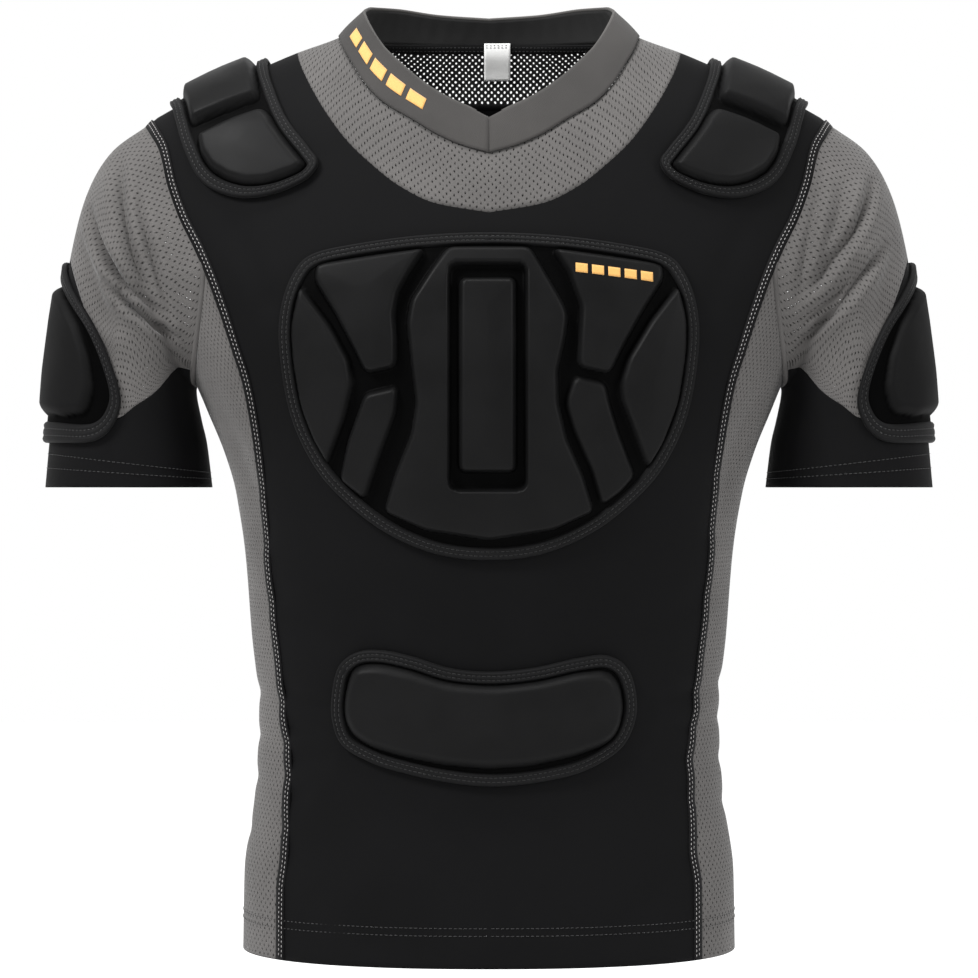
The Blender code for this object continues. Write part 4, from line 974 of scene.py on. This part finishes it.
def net(name, colour, roughness, across, up, half_across, half_up):
    """Knitted net: staggered rows of real holes with drawn-in rims, darkened round each hole by painted
    shade.
    """
    g = Graph(name)
    vector, u, v = g.cloth_uv()
    sway = g.times(g.math("SUBTRACT", g.noise(120.0, 1.0, vector), 0.5), 0.5)
    line = g.plus(g.math("DIVIDE", v, up), g.times(sway, 0.4))
    odd = g.math("MODULO", g.math("FLOOR", line), 2.0)
    place = g.plus(g.plus(g.math("DIVIDE", u, across), sway), g.times(odd, 0.5))
    dx, dy = (g.times(g.math("SUBTRACT", g.math("FRACT", value), 0.5), size)
              for value, size in ((place, across / half_across), (line, up / half_up)))
    reach = g.math("SQRT", g.plus(g.times(dx, dx), g.times(dy, dy)))
    solid = g.ramp(reach, 0.85, 1.15, 0.0, 1.0)
    fuzz = g.noise(2200.0, 2.0, vector)
    # Painted shade round each hole: the colour falls to 0.72 at the hole's edge
    rim = g.ramp(reach, 1.0, 2.4, 0.72, 1.0)
    mottle = g.math("SUBTRACT", g.plus(fuzz, g.noise(900.0, 2.0, vector)), 1.0)
    broad = g.spread(g.noise(16.0, 3.0), 0.90, 1.08)
    shade = g.times(rim, g.math("MULTIPLY_ADD", mottle, 0.55, broad))
    ribs = g.math("MULTIPLY_ADD", g.wave(u, 0.0011), 0.25, fuzz)
    g.bump(g.plus(g.ramp(reach, 0.9, 2.2, 0.0, 2.0), ribs), 0.6, 0.00016)
    return g.finish(g.tint(colour, shade), roughness, 0.1, 0.10, solid)


def foam(name, colour, roughness):
    """Molded foam under bonded stretch cloth: a fine grain, with painted shade darkening the low grooves
    between the blocks.
    """
    g = Graph(name)
    vector, u, v = g.cloth_uv()
    grain = g.noise(2400.0, 3.0, vector)
    weave = g.times(g.wave(u, 0.0009), g.wave(v, 0.0009))
    g.bump(g.math("MULTIPLY_ADD", weave, 0.4, grain), 0.6, 0.00009)
    broad = g.noise(22.0, 3.0)
    speck = g.math("SUBTRACT", g.plus(grain, g.noise(700.0, 2.0, vector)), 1.0)
    shade = g.plus(g.spread(broad, 0.88, 1.14), g.times(speck, 0.6))
    groove_shade = g.nodes.new("ShaderNodeAttribute")
    groove_shade.attribute_name = "raised"
    raised = groove_shade.outputs["Fac"]
    # Painted shade: the colour falls to 0.3 where the plate is lowest, in the grooves, and the specular
    # level is lower there too
    shade = g.times(shade, g.ramp(raised, 0.0, 1.0, 0.30, 1.0))
    rough = g.spread(broad, roughness - 0.05, roughness + 0.07)
    return g.finish(g.tint(colour, shade), rough, 0.0, g.ramp(raised, 0.0, 1.0, 0.012, 0.055))


def thread(name, colour):
    """Twisted thread or print with a fine grain."""
    g = Graph(name)
    fine = g.noise(3000.0, 1.0)
    g.bump(fine, 0.4, 0.00005)
    return g.finish(g.tint(colour, g.spread(fine, 0.8, 1.15)), 0.6, 0.2)


BLACK = knit("black_stretch_cloth", (0.0026, 0.0026, 0.0028), 0.72, 0.0010, 0.01, specular=0.04)
GREY_NET = net("grey_net_cloth", (0.067, 0.064, 0.0622), 0.85, 0.0056, 0.0031, 0.00042, 0.00074)
GREY_SEAM = knit("grey_seam_cloth", (0.060, 0.0575, 0.056), 0.85, 0.0011, 0.05, 0.00012, 0.10)
BLACK_NET = net("black_net_cloth", (0.010, 0.010, 0.010), 0.85, 0.0051, 0.0027, 0.00084, 0.00118)
COLLAR = knit("collar_knit_cloth", (0.030, 0.0285, 0.0275), 0.80, 0.0011, 0.05, 0.00012, 0.10)
# Lighter copy of the collar knit for its rolled top edge: a painted highlight
COLLAR_EDGE_HIGHLIGHT = knit("collar_edge_highlight_cloth", (0.050, 0.048, 0.046), 0.80, 0.0011, 0.05, 0.00012, 0.10)
FACING = knit("facing_knit_cloth", (0.0135, 0.0135, 0.0135), 0.82, 0.0011, 0.05, 0.00012, 0.08)
FOAM = foam("molded_foam_cover", (0.0034, 0.0034, 0.0035), 0.44)
# Darker and rougher copy of the pad foam for the arm pads: the darker colour is painted shade
SHADED_ARM_FOAM = foam("arm_foam_shaded_cover", (0.0024, 0.0024, 0.0025), 0.66)
TAPE = knit("edge_tape_cloth", (0.0032, 0.0032, 0.0034), 0.60, 0.0008, 0.01, 0.0001, 0.07)
LABEL = knit("label_cloth_white", (0.75, 0.75, 0.74), 0.6, 0.0006, 0.1, 0.00005, variation=0.04)
DARK_THREAD = thread("dark_thread", (0.0058, 0.0058, 0.0060))
LIGHT_THREAD = thread("light_thread", (0.26, 0.25, 0.245))
ORANGE = thread("orange_print", (0.44, 0.235, 0.065))


def wear(thing, slot_name, *nodes):
    """Let a piece ride on the shirt and stand for its solids."""
    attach(thing, "root")
    if nodes:
        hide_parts(*nodes)
    return thing


# Torso panels and yokes

def along_seam(table, count, side):
    """Evenly spaced points of the body form along a seam, from the middle to the shoulder line."""
    xs = table[-1][0] * (1 - (1 - np.linspace(0, 1, 300)) ** 2)
    points = body(xs, smooth(table)(xs), side)
    points[-1][1] = 0.0
    place = path_lengths(points)
    return pick(np.linspace(0, place[-1], count + 1), place, points)


def turn_of(points):
    """Angle from the front middle of points on the body form."""
    angle = angle_of(points[..., 0], points[..., 2])
    return np.where(points[..., 1] <= 0, angle, math.pi - angle)


def back_neck(x):
    return BACK_NECK_RISE * (1 - (x / NECK_SEAM[-1][0]) ** 2)


def back_yoke_line(x):
    end_x, end_z = YOKE_SEAM[-1]
    return BACK_YOKE_Z + (end_z - BACK_YOKE_Z) * (x / end_x) ** BACK_YOKE_BEND


def both_halves(rows):
    """Whole width of a panel or line from its right half."""
    return np.concatenate([rows[..., :0:-1, :] * FLIP, rows], axis=-2)


def round_neck(rows):
    """Right half of a line or band carried on over the middle and back along the left."""
    return np.concatenate([rows, rows[..., -2::-1, :] * FLIP], axis=-2)


def torso_rows(yoke_edge, side):
    """Rows of the front or back panel from the hem up to the yoke and the shoulder line."""
    lower = HEM_Z + (JOIN_Z - HEM_Z) * np.arange(LOWER_ROWS) / LOWER_ROWS
    upper = armhole_height(1 - np.arange(ARMHOLE_ROWS + 1) / ARMHOLE_ROWS)
    shares = (np.concatenate([lower, upper]) - HEM_Z) / (TIP_Z - HEM_Z)
    ridge_x = np.linspace(YOKE_SEAM[-1][0], SHOULDER_TIP_X, RIDGE_CELLS + 1)[1:]
    top = np.vstack([yoke_edge, np.column_stack([ridge_x, np.zeros(RIDGE_CELLS), ridge_z(ridge_x)])])
    columns = np.concatenate([np.linspace(0, YOKE_SHARE, len(yoke_edge)),
                              np.linspace(YOKE_SHARE, 1, RIDGE_CELLS + 1)[1:]])
    t = shares[:-1, None]
    z = HEM_Z + t * (top[None, :, 2] - HEM_Z)
    across = columns[None] + (top[None, :, 0] / seam_x(top[None, :, 2]) - columns[None]) * t ** FAN
    rows = body(across * (seam_x(z) - SEAM_GAP / 2), z, side)
    rows, _ = torso_cloth(np.concatenate([rows, top[None]], axis=0))
    rows[-1, len(yoke_edge) - 1:, 1] = side * SEAM_GAP / 2
    return both_halves(rows)


def yoke_rows(upper, lower, side):
    """Rows of a neck yoke between its lower and upper seam."""
    rows = []
    for share in np.linspace(0, 1, YOKE_ROWS):
        turn = turn_of(lower) + (turn_of(upper) - turn_of(lower)) * share
        row = around(turn, lower[:, 2] + (upper[:, 2] - lower[:, 2]) * share)
        row[0, 0] = 0.0
        row[-1, 1] = side * SEAM_GAP / 2
        rows.append(row)
    return both_halves(np.array(rows))


front_neck = along_seam(NECK_SEAM, YOKE_CELLS, -1)
front_yoke = along_seam(YOKE_SEAM, YOKE_CELLS, -1)
back_top, back_low = (along_seam([(x, line(x)) for x in np.linspace(0, end, 12)], YOKE_CELLS, 1)
                      for line, end in ((back_neck, NECK_SEAM[-1][0]), (back_yoke_line, YOKE_SEAM[-1][0])))

front_cloth = wear(cloth_wall("front_cloth", torso_rows(front_yoke, -1), BLACK),
                   "black_stretch", "front_panel")
back_cloth = wear(cloth_wall("back_cloth", torso_rows(back_low, 1), BLACK, flip=True),
                  "black_stretch", "back_panel")
neck_net = wear(cloth_wall("neck_net", yoke_rows(front_neck, front_yoke, -1), GREY_NET),
                "grey_net", "neck_yoke")
back_net = wear(cloth_wall("back_neck_net", yoke_rows(back_top, back_low, 1), BLACK_NET, flip=True),
                "black_net", "back_yoke")

# Side panels
side_nets = []
for side, word in ((1, "right"), (-1, "left")):
    share = np.linspace(0, 1, 2 * PIT_CELLS + 1)[None]
    z = HEM_Z + (pit_height(share) - 0.5 * SEAM_GAP - HEM_Z) * np.linspace(0, 1, SIDE_ROWS)[:, None]
    rows = side_point(SIDE_CLEAR + (1 - 2 * SIDE_CLEAR) * share, z) * np.array([side, 1, 1])
    net_piece = cloth_wall("side_net_" + word, torso_cloth(rows)[0], GREY_NET, flip=side < 0)
    side_nets.append(wear(net_piece, "grey_net", "side_panel_" + word))

# Sleeves
sleeve_nets = []
sleeve_cloths = []


def cuffward(angles):
    """Where the net ends at angles round the sleeve, and half the gap there."""
    turn = np.degrees(np.mod(angles, 2 * math.pi))
    seam = net_end(np.minimum(turn, 360 - turn))
    return seam, NET_GAP * (1 + 2.5 * np.maximum(0.0, 1 - seam / 0.4))


for arm, word in ((1, "right"), (-1, "left")):
    angle = np.linspace(-math.pi, math.pi, NET_ROUND_CELLS)
    seam, clear = cuffward(angle)
    angle, seam, clear = (values[seam > NET_LEAST] for values in (angle, seam, clear))
    share = SLEEVE_START + (seam - clear - SLEEVE_START)[None] * np.linspace(0, 1, NET_CELLS)[:, None]
    rows, _ = sleeve_cloth(arm, angle[None], share)
    net_piece = cloth_wall("sleeve_net_" + word, rows, GREY_NET, flip=arm < 0,
                           smooth_rows=sleeve(angle[None], share))
    sleeve_nets.append(wear(net_piece, "grey_net", "sleeve_" + word))
    angle = np.linspace(0, 2 * math.pi, CUFF_ROUND_CELLS, endpoint=False)
    seam, clear = cuffward(angle)
    top = np.where(seam > NET_LEAST, seam + clear, SLEEVE_START)
    share = top[None] + (1.0 - top)[None] * np.linspace(0, 1, CUFF_CELLS)[:, None]
    rows, _ = sleeve_cloth(arm, angle[None], share)
    lower = cloth_wall("sleeve_cloth_" + word, rows, BLACK, closed=True, flip=arm < 0)
    sleeve_cloths.append(wear(lower, "black_stretch", "sleeve_lower_" + word))

# Collar and facing
front_line, back_line = (smooth(list(zip(np.degrees(turn_of(line)), line[:, 2])))
                         for line in (front_neck, back_top))
collar_top = [smooth(COLLAR_TOP, k) for k in range(1, 4)]


def collar_form(turn, rise):
    """Points of the collar by degrees round the neck and rise from the seam to the top edge."""
    turn, rise = np.broadcast_arrays(np.asarray(turn, float), np.asarray(rise, float))
    low = around(np.radians(turn), np.where(turn < 90, front_line(turn), back_line(turn)))
    high = np.stack([axis(turn) for axis in collar_top], -1)
    rise = rise[..., None]
    bulge = COLLAR_BULGE * np.sin(math.pi * rise)
    return low + (high - low) * rise + outward(low) * COLLAR_STAND * (1 - rise) + unit(low * LEVEL) * bulge


def collar_normal(turn, rise):
    """Directions away from the collar."""
    along = collar_form(turn + 0.8, rise) - collar_form(turn - 0.8, rise)
    up = collar_form(turn, rise + 0.08) - collar_form(turn, rise - 0.08)
    return unit(np.cross(along, up))


def collar_rows(offset, low_rise, high_rise, wrinkle=0.0):
    """Rows of the whole collar at an offset from its form."""
    turns = np.degrees(np.concatenate([turn_of(front_neck[:-1]), turn_of(back_top[::-1])]))[None]
    rise = np.linspace(low_rise, high_rise, COLLAR_ROWS)[:, None]
    normal = collar_normal(np.clip(turns, 1.0, 179.0), np.clip(rise, 0.1, 0.9))
    swing = np.sin(math.pi * np.linspace(0, 1, COLLAR_ROWS)[:, None])
    ripple = wrinkle * np.sin(np.radians(turns) * 46) * swing
    rows = collar_form(turns, rise) + normal * (offset + ripple)[..., None]
    rows[:, 0, 0] = SEAM_GAP / 2
    rows[:, -1, 0] = 0.0
    return round_neck(rows)


collar_band = wear(cloth_wall("collar_band", collar_rows(0.0, 0.0, 1.0), COLLAR), "collar_knit", "collar")

# Rolled top edge of the collar, in the lighter copy of the collar knit that paints a highlight on it
edge = collar_form(np.linspace(1.5, 180.0, 260), 1.0)
away = unit(edge * LEVEL)
steps = np.linspace(0, 2 * math.pi, 9)[:-1]
roll = wear(ribbon("collar_fold", round_neck(edge), round_neck(away), COLLAR_EDGE_HIGHLIGHT,
                   ROLL * np.column_stack([np.cos(steps), np.sin(steps)])), "collar_knit")
collar_inside = wear(cloth_wall("collar_inside", collar_rows(FACING_OFFSET, *FACING_SPAN, WRINKLE),
                                FACING, FACING_WALL), "facing_knit", "collar_facing")

# Binding under the facing, seam tape under the back net, and the armhole seams
turn = np.linspace(92.0, 180.0, 120)
binding_path = round_neck(around(np.radians(turn), back_line(turn) - BINDING_DROP))
inner = -outward(binding_path)
binding = wear(ribbon("neck_binding", binding_path, inner, TAPE, BINDING_SECTION), "edge_tape")
across = sideways(binding_path, inner)
inside_paths = [(binding_path + across * shift + inner * INSIDE_ROW_LIFT, inner) for shift in INSIDE_ROWS]
low = both_halves(back_low)[3:-3]
seam_tape = wear(ribbon("back_seam_tape", low, -outward(low), TAPE, TAPE_SECTION), "edge_tape")
armhole_seams = []
for arm, word in ((1, "right"), (-1, "left")):
    path, away = sleeve_cloth(arm, np.radians(np.linspace(*ARMHOLE_SPAN, 150)), 0.0, 0.5 * CLOTH)
    seam_piece = ribbon("armhole_seam_" + word, path, away, GREY_SEAM, ARMHOLE_SECTION)
    armhole_seams.append(wear(seam_piece, "grey_net"))

# Label
x = LABEL_X + LABEL_WIDTH * np.linspace(-0.5, 0.5, 13)[None]
z = np.linspace(LABEL_BOTTOM_Z, LABEL_TOP_Z, 17)[:, None]
rows = body(x, np.minimum(z, LABEL_SEAM_Z), 1)
rows[..., 1] -= LABEL_STAND + 0.0004 * np.sin((x - LABEL_X) * 150) * np.clip(-z / 0.02, 0, 1)
rows[..., 2] = z
label = wear(cloth_wall("blank_label", rows, LABEL, LABEL_WALL), "label_cloth", "neck_label")
for row in (-2, -3):
    inside_paths.append((rows[row] + np.array([0, -0.0007, 0]), np.tile([0.0, -1.0, 0.0], (13, 1))))
inside_rows = wear(stitches("inside_stitches", inside_paths, DARK_THREAD, *INSIDE_STITCH), "edge_tape")


# Pad pieces

def front_form(u, v):
    return body(u, v, -1)


def arm_form(u, v):
    return sleeve(u / ARM_SPREAD, v / ARM_LENGTH)


chest_chart = Chart(front_form, (-0.165, 0.165), (-0.410, -0.140), 1, FRONT_LIFT)
waist_chart = Chart(front_form, (-0.130, 0.130), (-0.575, -0.440), 1, FRONT_LIFT)
shoulder_chart = Chart(shoulder_form, (0.105, 0.252), (-0.105, 0.175), -1, SHOULDER_LIFT)
arm_chart = Chart(arm_form, (-0.120, 0.120), (0.120, 0.255), 1, ARM_LIFT)
pad_paths = []


def block_outlines(blocks, rim, radius, tape):
    """Rounded outlines of a pad's blocks with their tops, clear of its tape."""
    return {label: (top, kept_inside(rounded(outline, radius), rim, tape + BLOCK_CLEAR))
            for label, (top, outline) in blocks.items()}


def pad(name, tape_node, nodes, chart, mirror, rim, blocks, step, radius, edge, slot=None, tape=TAPE_WIDTH,
        cover=FOAM):
    """Relief plate, edge tape and stitch paths of one pad."""
    rim = closed_curve(rim, RIM_POINTS)
    outlines = block_outlines(blocks, rim, radius, tape)
    plate = relief(name + "_plate", chart, mirror, rim, outlines, cover, step, slot, edge, tape)
    wear(plate, "molded_foam", *nodes)
    rows = [points for points, _ in tape_lines(chart, mirror, rim, tape, TAPE_FORM)]
    wear(ring_band(name + "_binding", rows, TAPE, True), "edge_tape", tape_node)
    for line in tape_lines(chart, mirror, rim, tape, TAPE_STITCHES):
        pad_paths.append([np.vstack([part, part[:1]]) for part in line])


chest_rim = CHEST_RIM + [(-x, z) for x, z in CHEST_RIM[-2:0:-1]]
chest_slot = rounded(CHEST_SLOT, SLOT_CORNER)
pad("chest_pad", "chest_pad_tape", ["chest_pad_base", *CHEST_BLOCKS], chest_chart, 1, chest_rim,
    CHEST_BLOCKS, CHEST_STEP, CHEST_CORNER, CHEST_EDGE, chest_slot)
pad("abdomen_pad", "abdomen_pad_tape", ["abdomen_pad_base", "abdomen_pad_block"], waist_chart, 1, WAIST_RIM,
    {"block": (WAIST_BLOCK_TOP, WAIST_BLOCK)}, 0.0013, 0.008, 0.0070)
arm_rim, arm_block = ([(math.radians(a) * ARM_SPREAD, s * ARM_LENGTH) for a, s in outline]
                      for outline in (ARM_RIM, ARM_BLOCK))
for mirror, word in ((1, "right"), (-1, "left")):
    solids = ["shoulder_pad_" + place + "_" + word for place in ("base", "top", "front")]
    pad("shoulder_pad_" + word, "shoulder_pad_tape_" + word, solids, shoulder_chart, mirror, SHOULDER_RIM,
        SHOULDER_BLOCKS, 0.0013, 0.0045, 0.0048, tape=SHOULDER_TAPE)
    solids = ["arm_pad_" + place + "_" + word for place in ("base", "block")]
    pad("arm_pad_" + word, "arm_pad_tape_" + word, solids, arm_chart, mirror, arm_rim,
        {"block": (ARM_BLOCK_TOP, arm_block)}, 0.0014, 0.006, 0.0052, cover=SHADED_ARM_FOAM)
wear(stitches("pad_stitches", pad_paths, DARK_THREAD, *PAD_STITCH), "edge_tape")

# Seam bands and stitches from the shoulder tips down to the hem
seam_bands = {}
dash_paths = []
for side, place in ((-1, "front"), (1, "back")):
    for arm, word in ((1, "right"), (-1, "left")):
        z = np.linspace(TIP_Z - 0.002, HEM_Z + 0.0005, 330)
        line = body(np.minimum(seam_x(z), half_width(z)) * arm, z, side)
        points, normals = torso_cloth(line, CLOTH)
        section = [(arm * side * offset, lift) for offset, lift in SEAM_SECTION]
        band = ribbon("seam_band_" + place + "_" + word, points, normals, TAPE, section)
        seam_bands[place + "_" + word] = wear(band, "edge_tape")
        across = sideways(points, normals) * arm * side
        for shift in SEAM_ROWS:
            dash_paths.append((points + across * shift + normals * SEAM_ROW_LIFT, normals))
contrast_rows = wear(stitches("contrast_stitches", dash_paths, LIGHT_THREAD, *CONTRAST_STITCH), "edge_tape")

# Hem stitches
hem_paths = []
for row in HEM_ROWS:
    for arm in (1, -1):
        line = around(np.linspace(0.0, math.pi, 500), HEM_Z + row) * np.array([arm, 1, 1])
        hem_paths.append(torso_cloth(line, HEM_LIFT))
for arm in (1, -1):
    for share in CUFF_ROWS:
        hem_paths.append(sleeve_cloth(arm, np.linspace(0, 2 * math.pi, 300), share, HEM_LIFT))
hem_rows = wear(stitches("hem_stitches", hem_paths, DARK_THREAD, *HEM_STITCH), "edge_tape")


# Plain orange dashes in the two places of colour

def dashes(name, form, count, fill, along_cells=9, across_cells=5):
    """Equal printed dashes along a strip; form gives points for shares along and across it."""
    vertices = []
    faces = []
    for k in range(count):
        along = (k + np.linspace(0, fill, along_cells)) / (count - 1 + fill)
        faces += (grid_faces(across_cells, along_cells) + len(vertices)).tolist()
        for across in np.linspace(0, 1, across_cells):
            vertices += form(along, np.full(along_cells, across)).tolist()
    return wall(wear(piece(name, vertices, faces, ORANGE), "label_cloth"), PRINT_THICKNESS)


dense_rim = closed_curve(chest_rim, RIM_POINTS)
chest_outlines = block_outlines(CHEST_BLOCKS, dense_rim, CHEST_CORNER, TAPE_WIDTH)


def chest_strip(along, across):
    """Strip on the upper right block of the chest pad, falling a little to the right."""
    flat = np.stack([0.0610 + 0.0540 * along, -0.1885 - 0.0058 * along + 0.0062 * across], -1)
    inside = depth_inside(flat, dense_rim[::4])
    height = block_height(flat, inside, chest_outlines, chest_slot, CHEST_EDGE, TAPE_WIDTH)
    return chest_chart.at(flat, height + PRINT_STAND)[0]


def collar_strip(along, across):
    """Strip round the left of the collar band, at the middle of its width."""
    turns = np.linspace(COLLAR_PRINT[1], COLLAR_PRINT[0], 60)
    place = path_lengths(collar_form(turns, 0.5))
    turn = np.interp(along * place[-1], place, turns)
    rise = 0.36 + 0.30 * across
    return (collar_form(turn, rise) + collar_normal(turn, rise) * (CLOTH + PRINT_STAND)) * FLIP


dashes("chest_dashes", chest_strip, 5, 0.74)
collar_print = dashes("collar_dashes", collar_strip, 5, 0.78)

# Floor, light and camera
bpy.ops.mesh.primitive_plane_add(size=12, location=(0, 0, -1.0))
floor = bpy.context.object
floor.name = "floor"
g = Graph("pale_floor")
floor.data.materials.append(g.finish(g.tint((0.97, 0.97, 0.97), g.spread(g.noise(3.0), 0.985, 1.0)), 0.95))

world = bpy.data.worlds.new("studio")
world.use_nodes = True
world.node_tree.nodes["Background"].inputs["Color"].default_value = (1.0, 1.0, 1.0, 1.0)
world.node_tree.nodes["Background"].inputs["Strength"].default_value = 1.0
bpy.context.scene.world = world
bpy.context.scene.view_settings.view_transform = "Standard"

# Lights: name, place, target, size, power
LIGHTS = [
    ("key", (-1.4, -1.2, 1.3), (0, 0, -0.3), (0.6, 0.6), 80),
    ("fill", (1.7, -1.2, 0.4), (0, 0, -0.35), (0.4, 1.2), 24),
    ("top", (0, -0.5, 1.9), (0, 0, -0.2), (1.2, 0.4), 38),
]
for name, place, target, size, power in LIGHTS:
    data = bpy.data.lights.new(name, "AREA")
    data.shape = "RECTANGLE"
    data.size, data.size_y = size
    data.energy = power
    lamp = bpy.data.objects.new(name, data)
    bpy.context.scene.collection.objects.link(lamp)
    lamp.location = place
    lamp.rotation_euler = (Vector(target) - Vector(place)).to_track_quat("-Z", "Y").to_euler()

camera_data = bpy.data.cameras.new("camera")
camera_data.sensor_width = 36.0
camera_data.lens = 106.6
camera_data.dof.use_dof = False
camera = bpy.data.objects.new("camera", camera_data)
camera.location = (0.0, -2.2, -0.3412)
camera.rotation_euler = (math.pi / 2, 0.0, 0.0)
bpy.context.scene.collection.objects.link(camera)
bpy.context.scene.camera = camera

# Cut of each cloth piece before it was sewn: piece, what it hangs from, width, length, area, sewn on it
CUTS = [
    (collar_band, [], 0.70, 0.041, 0.0187, [roll, collar_print]),
    (collar_inside, [collar_band], 0.69, 0.036, 0.0163, [binding, inside_rows]),
    (neck_net, [collar_band], 0.31, 0.18, 0.0185, []),
    (back_net, [collar_band], 0.31, 0.10, 0.0153, []),
    (front_cloth, [neck_net], 0.56, 0.69, 0.238,
     [seam_bands["front_right"], seam_bands["front_left"], contrast_rows, hem_rows]),
    (back_cloth, [back_net], 0.56, 0.69, 0.265,
     [seam_bands["back_right"], seam_bands["back_left"], seam_tape]),
    (side_nets[0], [front_cloth, back_cloth], 0.21, 0.52, 0.067, []),
    (side_nets[1], [front_cloth, back_cloth], 0.21, 0.52, 0.067, []),
    (sleeve_nets[0], [front_cloth, back_cloth], 0.49, 0.17, 0.042, [armhole_seams[0]]),
    (sleeve_nets[1], [front_cloth, back_cloth], 0.49, 0.17, 0.042, [armhole_seams[1]]),
    (sleeve_cloths[0], [sleeve_nets[0]], 0.41, 0.18, 0.0435, []),
    (sleeve_cloths[1], [sleeve_nets[1]], 0.41, 0.18, 0.0435, []),
    (label, [collar_inside], LABEL_WIDTH, LABEL_TOP_Z - LABEL_BOTTOM_Z, None, []),
]
for thing, above, width, length, area, extras in CUTS:
    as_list(above)
    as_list(extras)
